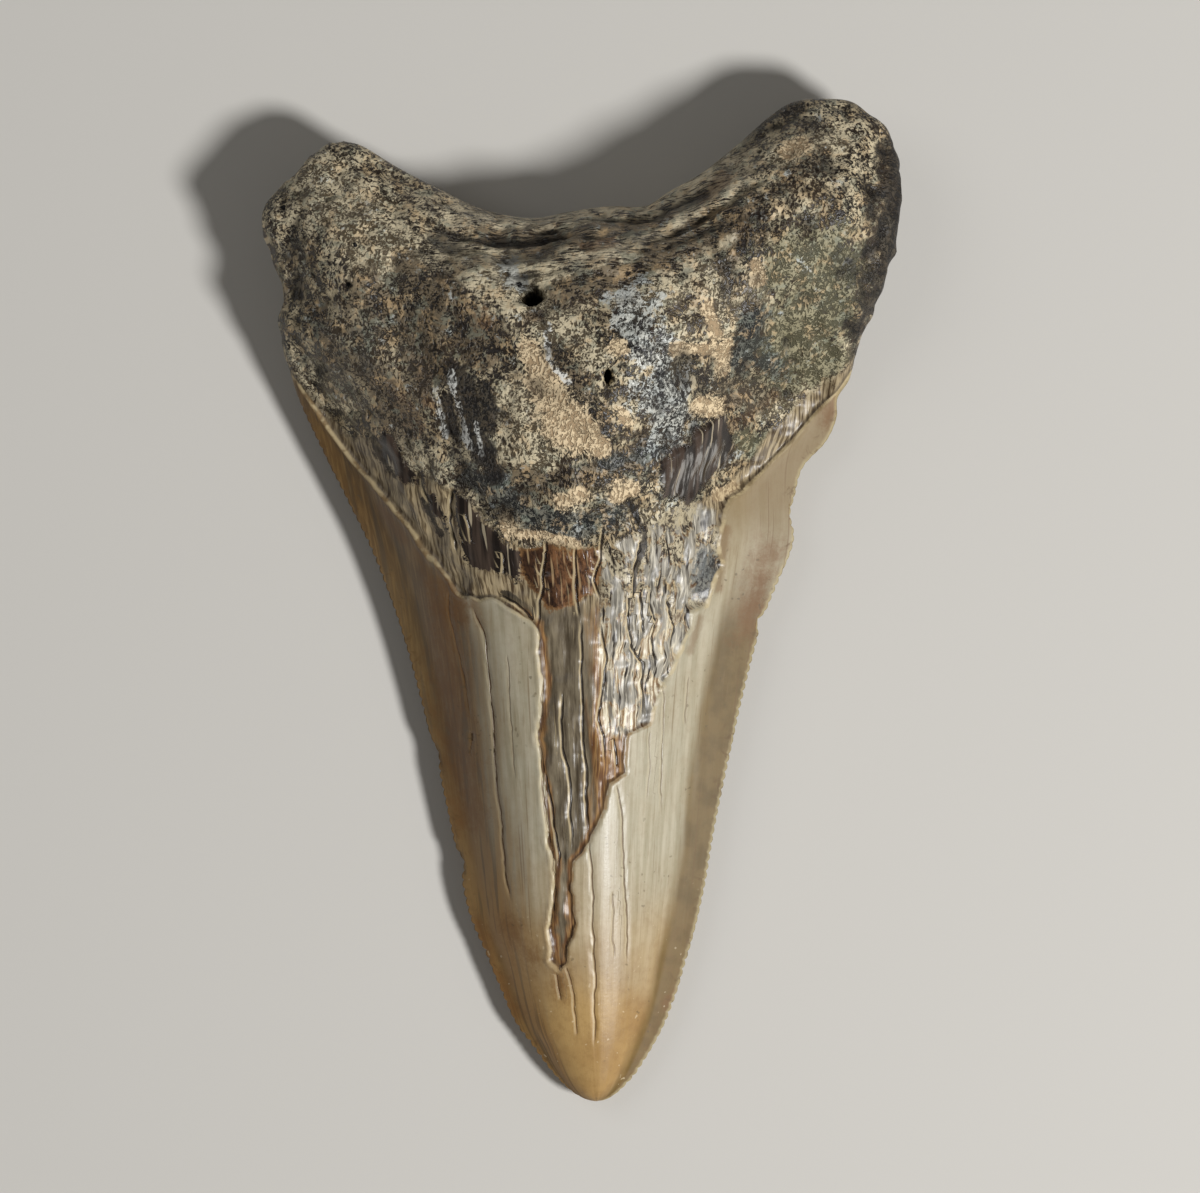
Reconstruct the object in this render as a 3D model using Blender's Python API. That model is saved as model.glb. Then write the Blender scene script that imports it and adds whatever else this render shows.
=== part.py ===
"""Fossil megalodon tooth, lying on its flat outer (labial) face with the rounded inner (lingual) face up.

X runs across the tooth, +Y runs from the crown's tip to the root's lobes, +Z is up.
The origin is under the middle of the tooth, on the surface that it rests on.
The tooth is one solid. Its surface is a net of rows and columns: the rows cross the tooth from its left edge
to its right edge, and the columns run from the root's basal edge down to the tip.
Every length below is in millimetres, and MM turns it into Blender's metres.
"""

import math

import bmesh
import bpy
import numpy as np

MM = 0.001

# Outline seen from above. Each run is a smooth curve through its points.
ROOT_EDGE = [  # from the left lobe's end, through the notch between the lobes, to the right lobe's end
    (-22.0, 42.4), (-20.2, 41.9), (-16.9, 39.9), (-13.2, 38.0), (-10.4, 36.6), (-7.6, 35.7),
    (-4.4, 35.3), (-1.2, 35.9), (2.5, 36.4), (5.8, 36.4), (7.9, 37.7), (10.9, 39.4), (14.1, 41.9),
    (17.3, 44.7), (19.7, 46.1), (22.9, 46.3), (24.9, 46.0), (26.4, 44.9),
]
LEFT_EDGE = [  # from the left lobe's end down to the tip
    (-22.0, 42.4), (-24.1, 41.6), (-26.1, 39.7), (-28.4, 37.6), (-29.3, 35.9), (-29.1, 33.6),
    (-28.4, 31.1), (-27.5, 28.1), (-27.9, 25.6), (-27.4, 23.0), (-27.0, 20.9), (-25.9, 17.7),
    (-23.2, 12.1), (-19.6, 4.7), (-16.9, -2.5), (-14.8, -10.1), (-13.4, -15.8), (-11.8, -23.0),
    (-10.6, -28.8), (-8.9, -32.9), (-6.5, -38.6), (-4.7, -41.2), (-3.0, -43.5), (-1.5, -45.1),
    (-0.4, -45.9), (0.6, -46.3), (1.3, -46.4),
]
RIGHT_EDGE = [  # from the right lobe's end down to the tip
    (26.4, 44.9), (28.1, 43.3), (29.0, 40.3), (29.3, 36.0), (28.7, 32.5), (27.9, 29.5),
    (26.4, 25.8), (25.2, 23.2), (24.7, 20.6), (23.6, 18.8), (23.5, 16.9), (22.5, 14.7),
    (20.4, 12.3), (19.7, 9.3), (19.6, 5.6), (18.2, 1.9), (16.6, -2.2), (14.7, -9.6),
    (13.4, -15.6), (12.3, -21.0), (11.3, -26.7), (9.8, -32.7), (7.9, -38.6), (5.4, -43.2),
    (3.9, -45.0), (2.8, -45.9), (2.0, -46.3), (1.3, -46.4),
]

# Heights above the resting surface, against the share of the way from the root's edge (0) to the tip (1).
CREST = [  # the lingual face along the tooth's middle
    (0.00, 16.0), (0.05, 17.4), (0.10, 18.6), (0.17, 19.3), (0.25, 18.6), (0.33, 16.6), (0.40, 14.7),
    (0.45, 13.9), (0.52, 13.0), (0.60, 11.9), (0.70, 10.2), (0.80, 8.2), (0.90, 5.9), (0.96, 4.3),
    (1.00, 3.1),
]
RIM = [  # the outline itself: mid-height of the rounded root, then the cutting edge
    (0.00, 7.5), (0.12, 7.8), (0.19, 6.8), (0.25, 4.6), (0.32, 3.6), (0.50, 3.1), (0.75, 2.6), (1.00, 2.4),
]
BASAL_ROUNDING = 0.15  # share of the way down over which the root's basal edge rounds up to full height
TIP_ROUNDING = 0.04  # share of the way over which the tip rounds off
TIP_LIFT = 1.4  # how far the labial face bends up from the resting surface towards the tip
ROOT_SHARE, CROWN_SHARE = 0.17, 0.31  # the section changes from rounded root to sharp crown between these
ROOT_ROUNDNESS = 2.7  # power of the root's rounded section: 2 is an ellipse, and more is squarer
LEFT_BAND, RIGHT_BAND = 0.88, 0.77  # share of the half-width where the flatter band by each edge begins
BAND_RISE = 0.11  # share of the full height reached over the band
BAND_OVERLAP = 0.05  # how far past the start of the band the crown's dome would come down to the rim
BAND_SOFTNESS = 0.07  # how softly the dome turns into the band
LABIAL_FLAT = 1.05  # above 1, the labial face is cut flat along its middle, where the tooth rests

# Lumps (+) and hollows (-) of the lingual face: centre x, y, half-sizes across and along, turn, height.
LINGUAL_LUMPS = {
    "left lobe": (-23.5, 34.5, 4.5, 7.0, 20, 0.9),
    "left valley": (-16.0, 24.0, 3.2, 8.5, 14, -1.7),
    "left shoulder": (-23.8, 22.5, 2.6, 4.5, -12, 0.7),
    "right lobe": (20.3, 37.0, 6.0, 8.5, -28, 1.7),
    "right valley": (13.4, 25.5, 3.4, 6.5, -12, -0.8),
    "right shoulder": (22.0, 25.5, 2.6, 4.5, 10, 0.8),
    "middle boss": (1.8, 20.5, 7.5, 7.0, 0, 0.9),
    "basal groove": (-1.0, 33.0, 11.0, 1.5, 4, -0.6),
    "neck": (-1.5, 4.2, 13.0, 2.6, 0, -0.5),
}
LABIAL_HOLLOWS = {  # lifted clear of the resting surface
    "between the lobes": (0.5, 27.0, 7.0, 9.0, 0, 0.9),
    "under the enamel's edge": (-1.0, 15.0, 24.0, 2.2, 0, 0.6),
}

# The enamel covers the crown. Its lingual edge dips in a V, and has broken away to bare dentine below it.
ENAMEL_THICKNESS = 0.4
LINGUAL_ENAMEL_EDGE = [
    (-30.0, 23.5), (-27.0, 20.9), (-23.4, 15.8), (-20.6, 12.3), (-16.9, 8.0), (-11.1, 1.0), (-7.6, -0.1),
    (-3.7, -2.5), (-3.9, -9.2), (-3.4, -16.6), (-2.6, -25.0), (-2.6, -33.2), (-1.0, -33.2),
    (-0.4, -29.0), (-1.1, -25.0), (1.3, -20.5), (3.8, -13.0), (6.0, -10.0), (7.5, -7.0), (9.9, -2.6),
    (12.9, -0.5), (13.5, 8.6), (17.3, 13.0), (23.5, 19.3), (30.0, 24.0),
]
LABIAL_ENAMEL_EDGE = [
    (-30.0, 23.5), (-27.0, 20.9), (-16.0, 16.4), (-6.0, 14.0),
    (4.0, 13.8), (14.0, 15.6), (23.5, 19.3), (30.0, 24.0),
]
BELOW_THE_TIP = [(36.0, -56.0), (-36.0, -56.0)]  # closes the enamel's region outside the tooth

# Serrations of the two cutting edges, and places where the edge is chipped: side, y, depth, half-width.
CROWN_START = 0.26  # share of the way down at which the cutting edges begin
SERRATIONS = 86  # along each edge, about 0.85 mm apart
SERRATION_DEPTH = 0.22
WORN_SERRATIONS = {-1: 4, 1: 22}  # how many are worn down at the top of the left and of the right edge
CHIPS = [(-1, -14.2, 0.35, 1.2), (-1, -24.3, 0.5, 1.0), (1, 8.0, 0.4, 1.3), (1, -2.0, 0.45, 0.7)]

# Foramina, the holes of the root's blood vessels: x, y, half-width, half-length, depth.
FORAMINA = [(-4.7, 28.0, 1.05, 0.88, 4.0), (2.45, 20.3, 0.42, 0.75, 2.5)]
FORAMEN_SIDES = 14
FORAMEN_TAPER = 0.6  # share of the mouth's width left at the bottom

# The net. A crown row holds two serrations, so a rim has three points between two rows.
ROOT_ROWS = 19
SERRATIONS_A_ROW = 2
POINTS_A_SERRATION = 2
CROWN_ROWS = SERRATIONS // SERRATIONS_A_ROW
LINGUAL_COLUMNS = 42
LABIAL_COLUMNS = LINGUAL_COLUMNS // 2
RIM_CROWDING = 0.5  # how much closer the columns lie at the rim, where the root is round

TOOTH_COLOUR = (0.33, 0.26, 0.18, 1.0)
TOOTH_ROUGHNESS = 0.45


def smoothstep(low, high, value):
    share = np.clip((value - low) / (high - low), 0.0, 1.0)
    return share * share * (3.0 - 2.0 * share)


def smooth_curve(points, steps=12):
    """Catmull-Rom curve through the points, as many short steps, and the length run at each."""
    p = np.array(points, float)
    p = np.vstack([2 * p[0] - p[1], p, 2 * p[-1] - p[-2]])
    before, start, end, after = (p[k : len(p) - 3 + k, None] for k in range(4))
    t = np.linspace(0.0, 1.0, steps, endpoint=False)[None, :, None]
    run = 0.5 * (
        2 * start
        + (end - before) * t
        + (2 * before - 5 * start + 4 * end - after) * t**2
        + (3 * start - before - 3 * end + after) * t**3
    )
    run = np.vstack([run.reshape(-1, 2), p[-2]])
    length = np.concatenate([[0.0], np.cumsum(np.linalg.norm(np.diff(run, axis=0), axis=1))])
    return run, length


def along(curve, share):
    """The points at these shares of the curve's length."""
    run, length = curve
    at = np.asarray(share) * length[-1]
    return np.stack([np.interp(at, length, run[:, 0]), np.interp(at, length, run[:, 1])], -1)


def height_at(stations, share):
    """Smooth height between (share, height) stations."""
    run, _ = smooth_curve(stations)
    return np.interp(share, run[:, 0], run[:, 1])


def mound(x, y, place):
    """Bell-shaped lump: its half-sizes are where it falls to e^-1 of its height."""
    cx, cy, across, lengthways, turn, height = place
    c, s = math.cos(math.radians(turn)), math.sin(math.radians(turn))
    a = ((x - cx) * c + (y - cy) * s) / across
    b = ((y - cy) * c - (x - cx) * s) / lengthways
    return height * np.exp(-(a * a + b * b))


def depth_inside(x, y, corners):
    """Distance to a polygon's boundary, positive inside it."""
    nearest = np.full(np.shape(x), np.inf)
    inside = np.zeros(np.shape(x), bool)
    for (ax, ay), (bx, by) in zip(corners, corners[1:] + corners[:1]):
        dx, dy = bx - ax, by - ay
        t = np.clip(((x - ax) * dx + (y - ay) * dy) / (dx * dx + dy * dy), 0.0, 1.0)
        nearest = np.minimum(nearest, np.hypot(x - ax - t * dx, y - ay - t * dy))
        crosses = (ay > y) != (by > y)
        inside ^= crosses & (x < ax + dx * (y - ay) / (dy if dy else 1e-9))
    return np.where(inside, nearest, -nearest)


ROOT_CURVE, LEFT_CURVE, RIGHT_CURVE = map(smooth_curve, (ROOT_EDGE, LEFT_EDGE, RIGHT_EDGE))


def plan(across, down):
    """Where the net's point lies from above: on a row between the two edges, bowed as the root's edge is."""
    left, right = along(LEFT_CURVE, down), along(RIGHT_CURVE, down)
    basal = along(ROOT_CURVE, across)
    a, d = across[..., None], down[..., None]
    chord = (1 - a) * np.array(ROOT_EDGE[0]) + a * np.array(ROOT_EDGE[-1])
    place = (1 - a) * left + a * right + (1 - d) * (basal - chord)
    return place[..., 0], place[..., 1]


def lift_to_rim(across, down):
    """Share of full height, 0 on the outline: rounded in the root, a dome between flatter bands in the crown.

    The dome meets each band in a soft angle, as a hyperbola does the two lines that it lies between.
    """
    u = np.abs(2 * across - 1)
    crown = smoothstep(ROOT_SHARE, CROWN_SHARE, down)
    rounded = np.sqrt(np.maximum(1 - u**ROOT_ROUNDNESS, 0.0))
    band = np.where(across < 0.5, LEFT_BAND, RIGHT_BAND)
    dome = 1 - (u / (band + BAND_OVERLAP)) ** 2
    ramp = BAND_RISE * (1 - u) / (1 - band)
    blade = 0.5 * (dome + ramp + np.hypot(dome - ramp, BAND_SOFTNESS))
    section = rounded + (blade - rounded) * crown
    basal = 1 - np.clip(1 - down / BASAL_ROUNDING, 0, 1) ** 2
    tip = 1 - np.clip(1 - (1 - down) / TIP_ROUNDING, 0, 1) ** 2
    return section, np.sqrt(basal), np.sqrt(tip), crown


def lingual_height(across, down, x, y):
    """Height of the upper face: root boss and lobes, crown crest, lumps and the enamel's ledge."""
    section, basal, tip, crown = lift_to_rim(across, down)
    u = 2 * across - 1
    lobes = 1 - 0.27 * (1 - crown) * (1 - np.exp(-((u / 0.55) ** 2)))
    lift = section * basal * tip
    rim = height_at(RIM, down)
    height = rim + (height_at(CREST, down) - rim) * lift * lobes
    for place in LINGUAL_LUMPS.values():
        height = height + mound(x, y, place) * lift
    inside = depth_inside(x, y, LINGUAL_ENAMEL_EDGE + BELOW_THE_TIP)
    return height + ENAMEL_THICKNESS * (smoothstep(-0.5, 0.5, inside) - 1) * smoothstep(0, 0.25, lift)


def labial_height(across, down, x, y):
    """Height of the lower face: flat along the middle, where it rests, and curving up to the rim."""
    section, basal, tip, crown = lift_to_rim(across, down)
    lift = section ** (0.7 + 0.3 * crown) * basal * tip
    height = height_at(RIM, down) * (1 - LABIAL_FLAT * lift)
    hollows = sum(mound(x, y, place) for place in LABIAL_HOLLOWS.values())
    inside = depth_inside(x, y, LABIAL_ENAMEL_EDGE + BELOW_THE_TIP)
    ledge = ENAMEL_THICKNESS * (1 - smoothstep(-0.5, 0.5, inside)) * smoothstep(0.17, 0.25, down)
    bend = TIP_LIFT * smoothstep(0.72, 1.0, down)
    return np.maximum(height, bend) + (hollows + ledge) * smoothstep(0.0, 0.4, lift)


def edge_offset(side, down, y):
    """How far the cutting edge stands out of its curve: serrations, less the chips."""
    phase = (down - CROWN_START) / (1 - CROWN_START) * SERRATIONS
    worn = smoothstep(0, WORN_SERRATIONS[side], phase) * smoothstep(0, 6, SERRATIONS - phase)
    offset = SERRATION_DEPTH * worn * (np.abs(np.sin(np.pi * phase)) - 1)
    for chip_side, chip_y, depth, half_width in CHIPS:
        if chip_side == side:
            offset = offset - depth * np.exp(-(((y - chip_y) / half_width) ** 2))
    return offset


def rim_points(side, down):
    """Points on the left (-1) or right (+1) edge, with its serrations."""
    curve = LEFT_CURVE if side < 0 else RIGHT_CURVE
    place = along(curve, down)
    heading = along(curve, np.minimum(down + 0.01, 1.0)) - along(curve, np.maximum(down - 0.01, 0.0))
    heading /= np.linalg.norm(heading, axis=1)[:, None]
    outward = np.stack([heading[:, 1], -heading[:, 0]], 1) * -side
    place = place + outward * edge_offset(side, down, place[:, 1])[:, None]
    return np.column_stack([place, height_at(RIM, down)])


def column_shares(columns):
    """Shares across the tooth, closer together towards the rim."""
    even = np.linspace(0.0, 1.0, columns + 1)
    return even - RIM_CROWDING * np.sin(2 * math.pi * even) / (2 * math.pi)


def face_grid(rows, columns, height):
    """Points of one face: rows[i] down the tooth by the columns across it."""
    down, across = np.meshgrid(rows, column_shares(columns), indexing="ij")
    x, y = plan(across, down)
    return np.stack([x, y, height(across, down, x, y)], -1)


def row_shares():
    """Shares down the tooth: closer together at the rounded basal edge, then one for two serrations."""
    root = CROWN_START * np.linspace(0.0, 1.0, ROOT_ROWS, endpoint=False) ** 1.5
    return np.concatenate([root, np.linspace(CROWN_START, 1.0, CROWN_ROWS + 1)])


def add_vertex(mesh, point):
    return mesh.verts.new([c * MM for c in point])


def add_fan(mesh, corners):
    """Triangles from the first corner to the others, leaving out repeats where the net closes at the tip."""
    kept = [v for k, v in enumerate(corners) if v is not corners[k - 1]]
    for second, third in zip(kept[1:], kept[2:]):
        mesh.faces.new((kept[0], second, third))


def rim_vertices(mesh, side, rows, tip):
    """For each row, its rim vertex and the rim vertices between it and the next row."""
    found = []
    between = SERRATIONS_A_ROW * POINTS_A_SERRATION
    for start, end in zip(rows[:-1], rows[1:]):
        count = between if start >= CROWN_START else 1
        shares = np.linspace(start, end, count, endpoint=False)
        found.append([add_vertex(mesh, point) for point in rim_points(side, shares)])
    return found + [[tip]]


def face_vertices(mesh, rows, columns, height, left, right, tip, basal=None):
    """Rows of vertices of one face, which shares its rims, its tip and, if given, its basal row."""
    grid = face_grid(rows, columns, height)
    net = []
    for i, row in enumerate(grid[:-1]):
        inner = basal[1:-1] if i == 0 and basal else [add_vertex(mesh, point) for point in row[1:-1]]
        net.append([left[i][0], *inner, right[i][0]])
    return net + [[tip] * (columns + 1)]


def skin(mesh, net, left, right, basal_step=1):
    """Triangles between the rows of vertices, with the rims' extra vertices in each row's first and last.

    Each fan starts from a vertex off the rim, so that the two faces of the tooth never share a cut across it.
    """
    for i, (upper, lower) in enumerate(zip(net[:-1], net[1:])):
        step = basal_step if i == 0 else 1
        last = len(lower) - 2
        for j in range(last + 1):
            start, end = j * step, (j + 1) * step
            if j == last:
                corners = [upper[start], lower[j], lower[j + 1], *right[i][:0:-1], *upper[end:start:-1]]
            else:
                rim = left[i][1:] if j == 0 else []
                corners = [*upper[start : end + 1][::-1], *rim, lower[j], lower[j + 1]]
            add_fan(mesh, corners)


def tooth_mesh():
    mesh = bmesh.new()
    rows = row_shares()
    tip = add_vertex(mesh, (*LEFT_EDGE[-1], RIM[-1][1]))
    left, right = (rim_vertices(mesh, side, rows, tip) for side in (-1, 1))
    upper = face_vertices(mesh, rows, LINGUAL_COLUMNS, lingual_height, left, right, tip)
    lower = face_vertices(mesh, rows, LABIAL_COLUMNS, labial_height, left, right, tip, basal=upper[0])
    skin(mesh, upper, left, right)
    skin(mesh, lower, left, right, basal_step=LINGUAL_COLUMNS // LABIAL_COLUMNS)
    bmesh.ops.recalc_face_normals(mesh, faces=mesh.faces[:])
    data = bpy.data.meshes.new("tooth")
    mesh.to_mesh(data)
    mesh.free()
    return data


def foramen_cutter(number, place):
    """A tapering plug that stands through the lingual surface, to be cut out of it."""
    x, y, half_width, half_length, depth = place
    points = face_grid(row_shares(), LINGUAL_COLUMNS, lingual_height).reshape(-1, 3)
    surface = points[np.argmin(np.hypot(points[:, 0] - x, points[:, 1] - y)), 2]
    mesh = bmesh.new()
    bmesh.ops.create_cone(
        mesh,
        cap_ends=True,
        segments=FORAMEN_SIDES,
        radius1=FORAMEN_TAPER * half_width * MM,
        radius2=half_width * MM,
        depth=2 * depth * MM,
    )
    bmesh.ops.scale(mesh, vec=(1.0, half_length / half_width, 1.0), verts=mesh.verts[:])
    data = bpy.data.meshes.new(f"foramen_cutter_{number}")
    mesh.to_mesh(data)
    mesh.free()
    cutter = bpy.data.objects.new(data.name, data)
    cutter.location = (x * MM, y * MM, surface * MM)
    cutter.hide_render = True
    cutter.display_type = "WIRE"
    bpy.context.scene.collection.objects.link(cutter)
    return cutter


def tooth_material():
    material = bpy.data.materials.new("fossil_tooth")
    material.use_nodes = True
    shader = material.node_tree.nodes["Principled BSDF"]
    shader.inputs["Base Color"].default_value = TOOTH_COLOUR
    shader.inputs["Roughness"].default_value = TOOTH_ROUGHNESS
    return material


def build():
    for old in list(bpy.data.objects):
        bpy.data.objects.remove(old)
    tooth = bpy.data.objects.new("tooth", tooth_mesh())
    bpy.context.scene.collection.objects.link(tooth)
    tooth.data.materials.append(tooth_material())
    for number, place in enumerate(FORAMINA, 1):
        cut = tooth.modifiers.new(f"foramen_{number}", "BOOLEAN")
        cut.operation = "DIFFERENCE"
        cut.solver = "EXACT"
        cut.object = foramen_cutter(number, place)
    tooth.data.shade_smooth()
    tooth.data.set_sharp_from_angle(angle=math.radians(50))


build()
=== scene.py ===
"""Fossil megalodon tooth: worn enamel, bare dentine where enamel has come away, and a pitted root.

The tooth is one surface worked out in design millimetres, in the frame of the CAD solid that it replaces.
X runs across the tooth, +Y from the crown's tip to the root's lobes, +Z up out of the lingual face.
Its net runs across, 0 at the left edge to 1 at the right, and down, 0 at the basal edge to 1 at the tip.
The overall shape is the solid's own. Fine relief and the finish come on top of it.
"""

import itertools
import math

import bpy
import numpy as np
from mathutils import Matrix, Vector


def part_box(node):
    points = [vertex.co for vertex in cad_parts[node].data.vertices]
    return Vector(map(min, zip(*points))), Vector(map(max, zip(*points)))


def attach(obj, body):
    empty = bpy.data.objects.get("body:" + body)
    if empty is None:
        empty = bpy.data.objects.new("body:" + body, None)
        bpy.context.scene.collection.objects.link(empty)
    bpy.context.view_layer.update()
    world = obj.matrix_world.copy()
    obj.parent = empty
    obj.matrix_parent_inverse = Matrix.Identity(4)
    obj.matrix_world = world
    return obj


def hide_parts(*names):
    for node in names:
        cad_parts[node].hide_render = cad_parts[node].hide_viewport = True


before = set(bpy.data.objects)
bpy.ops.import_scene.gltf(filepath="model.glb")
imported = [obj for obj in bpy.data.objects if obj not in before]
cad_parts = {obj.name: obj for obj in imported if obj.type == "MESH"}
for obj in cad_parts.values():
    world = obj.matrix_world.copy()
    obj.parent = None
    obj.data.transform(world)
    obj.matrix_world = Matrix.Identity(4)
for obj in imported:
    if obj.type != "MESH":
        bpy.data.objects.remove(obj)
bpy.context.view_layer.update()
LOW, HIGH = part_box("tooth")

LENGTH = 92.51  # the solid's length in design millimetres; the outline below is 0.2 longer
MM = (HIGH[1] - LOW[1]) / LENGTH  # one design millimetre, in metres

# ---- Outline and heights, as in the solid ----

ROOT_EDGE = [  # from the left lobe's end, through the notch between the lobes, to the right lobe's end
    (-22, 42.4), (-20.2, 41.9), (-16.9, 39.9), (-13.2, 38), (-10.4, 36.6), (-7.6, 35.7), (-4.4, 35.3),
    (-1.2, 35.9), (2.5, 36.4), (5.8, 36.4), (7.9, 37.7), (10.9, 39.4), (14.1, 41.9), (17.3, 44.7),
    (19.7, 46.1), (22.9, 46.3), (24.9, 46), (26.4, 44.9),
]
LEFT_EDGE = [  # from the left lobe's end down to the tip
    (-22, 42.4), (-24.1, 41.6), (-26.1, 39.7), (-28.4, 37.6), (-29.3, 35.9), (-29.1, 33.6), (-28.4, 31.1),
    (-27.5, 28.1), (-27.9, 25.6), (-27.4, 23), (-27, 20.9), (-25.9, 17.7), (-23.2, 12.1), (-19.6, 4.7),
    (-16.9, -2.5), (-14.8, -10.1), (-13.4, -15.8), (-11.8, -23), (-10.6, -28.8), (-8.9, -32.9),
    (-6.5, -38.6), (-4.7, -41.2), (-3, -43.5), (-1.5, -45.1), (-0.4, -45.9), (0.6, -46.3), (1.3, -46.4),
]
RIGHT_EDGE = [  # from the right lobe's end down to the tip
    (26.4, 44.9), (28.1, 43.3), (29, 40.3), (29.3, 36), (28.7, 32.5), (27.9, 29.5), (26.4, 25.8),
    (25.2, 23.2), (24.7, 20.6), (23.6, 18.8), (23.5, 16.9), (22.5, 14.7), (20.4, 12.3), (19.7, 9.3),
    (19.6, 5.6), (18.2, 1.9), (16.6, -2.2), (14.7, -9.6), (13.4, -15.6), (12.3, -21), (11.3, -26.7),
    (9.8, -32.7), (7.9, -38.6), (5.4, -43.2), (3.9, -45), (2.8, -45.9), (2, -46.3), (1.3, -46.4),
]
CREST = [  # height of the lingual face along the middle, against the share of the way down
    (0, 16), (0.05, 17.4), (0.1, 18.6), (0.17, 19.3), (0.25, 18.6), (0.33, 16.6), (0.4, 14.7), (0.45, 13.9),
    (0.52, 13), (0.6, 11.9), (0.7, 10.2), (0.8, 8.2), (0.9, 5.9), (0.96, 4.3), (1, 3.1),
]
RIM = [  # height of the outline itself
    (0, 7.5), (0.12, 7.8), (0.19, 6.8), (0.25, 4.6), (0.32, 3.6), (0.5, 3.1), (0.75, 2.6), (1, 2.4),
]
BASAL_ROUNDING, TIP_ROUNDING = 0.15, 0.04  # shares of the way down over which the two ends round off
TIP_LIFT, TIP_LIFT_START = 1.4, 0.72  # how far the labial face bends up at the tip, and from what share
ROOT_SHARE, CROWN_SHARE = 0.17, 0.31  # the rounded root turns into the sharp crown between these
ROOT_ROUNDNESS = 2.7  # power of the root's section: 2 is an ellipse, and more is squarer
LOBE_DROP, BOSS_WIDTH = 0.27, 0.55  # how much lower the lobes are than the boss, and its width's share
LEFT_BAND, RIGHT_BAND = 0.88, 0.77  # share of the half-width where the flatter band by each edge begins
BAND_RISE = 0.11  # share of the full height reached over the band
BAND_OVERLAP, BAND_SOFTNESS = 0.05, 0.07  # how far the dome runs on into the band, and how softly it turns
LABIAL_FLAT = 1.05  # above 1, the labial face is cut flat along its middle, where the tooth rests
LABIAL_FULLNESS = 0.7  # power of the root's section under the labial face: below 1 is fuller

# Lumps (+) and hollows (-): centre x, y, half-sizes across and along, turn in degrees, height.
LINGUAL_LUMPS = {
    "left lobe": (-23.5, 34.5, 4.5, 7, 20, 0.9),
    "left valley": (-16, 24, 3.2, 8.5, 14, -1.7),
    "left shoulder": (-23.8, 22.5, 2.6, 4.5, -12, 0.7),
    "right lobe": (20.3, 37, 6, 8.5, -28, 1.7),
    "right valley": (13.4, 25.5, 3.4, 6.5, -12, -0.8),
    "right shoulder": (22, 25.5, 2.6, 4.5, 10, 0.8),
    "middle boss": (1.8, 20.5, 7.5, 7, 0, 0.9),
    "basal groove": (-1, 33, 11, 1.5, 4, -0.6),
    "neck": (-1.5, 4.2, 13, 2.6, 0, -0.5),
}
LABIAL_HOLLOWS = {
    "between the lobes": (0.5, 27, 7, 9, 0, 0.9),
    "under the enamel's edge": (-1, 15, 24, 2.2, 0, 0.6),
}
NODULES = [(25.2, 27.6, 1.2, 2.1, 8, 0.8), (24.2, 22.9, 1.0, 1.7, 12, 0.6), (22.6, 26.0, 1.0, 1.6, 0, 0.4)]

# ---- Enamel and what has happened to it ----

ENAMEL_THICKNESS, GLAZE_THICKNESS = 0.4, 0.18
ENAMEL_SLOPE, GLAZE_SLOPE = 0.14, 0.12  # half the width over which each one's edge steps down
LIP_HEIGHT, LIP_INSIDE, LIP_HALF_WIDTH = 0.11, 0.2, 0.22  # raised lip, inside the enamel's broken edge
LINGUAL_ENAMEL_EDGE = [  # left edge, V, down and up the strip where it has flaked off, right edge
    (-30, 24.5), (-27, 21.1), (-25.2, 18.6), (-23.3, 15.8), (-21.4, 13.2), (-18.5, 10.1), (-15.8, 6.6),
    (-13.2, 3.2), (-11.1, 0.5), (-9.8, 0.4), (-8.6, 0.3), (-6.4, -0.7), (-4.2, -2.6), (-3.9, -5),
    (-3.7, -7.2), (-4, -12.6), (-3.7, -16.5), (-3.1, -22.1), (-2.5, -25.3), (-3, -30), (-2.9, -33),
    (-2.1, -34.1), (-1.4, -33.5), (-1.2, -31.8), (-0.6, -29.7), (-1.2, -26.7), (-0.8, -24.1), (0.6, -22.1),
    (1.6, -20.1), (2.6, -16.7), (3.8, -15.7), (4.3, -12.1), (6, -11.2), (6.7, -9.6), (7.7, -7.3),
    (8.8, -4.9), (9.9, -2.7), (10.1, -1), (11.4, -0.5), (11.8, 0.8), (12.9, 3.4), (12.6, 5.3), (13.1, 8.3),
    (13.9, 9.5), (15, 10.3), (17.4, 12.9), (19.4, 14.9), (21.5, 17.4), (23.4, 19.3), (27, 24.5),
]
LABIAL_ENAMEL_EDGE = [
    (-30, 24.5), (-27, 21.1), (-21, 18.6), (-14, 15.6), (-6, 14), (-1, 13.3), (5, 13.8), (13, 15.4),
    (19, 17.2), (23.4, 19.3), (27, 24.5),
]
BELOW_THE_TIP = [(36.0, -56.0), (-36.0, -56.0)]  # closes the enamel's region outside the tooth
STRIP_TOP = -1.5  # height y at which the bare strip begins
STRIP_RIGHT_FROM, STRIP_RIGHT_TO = -9.0, -13.0  # y over which the strip's right side loses its raised lip

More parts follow.
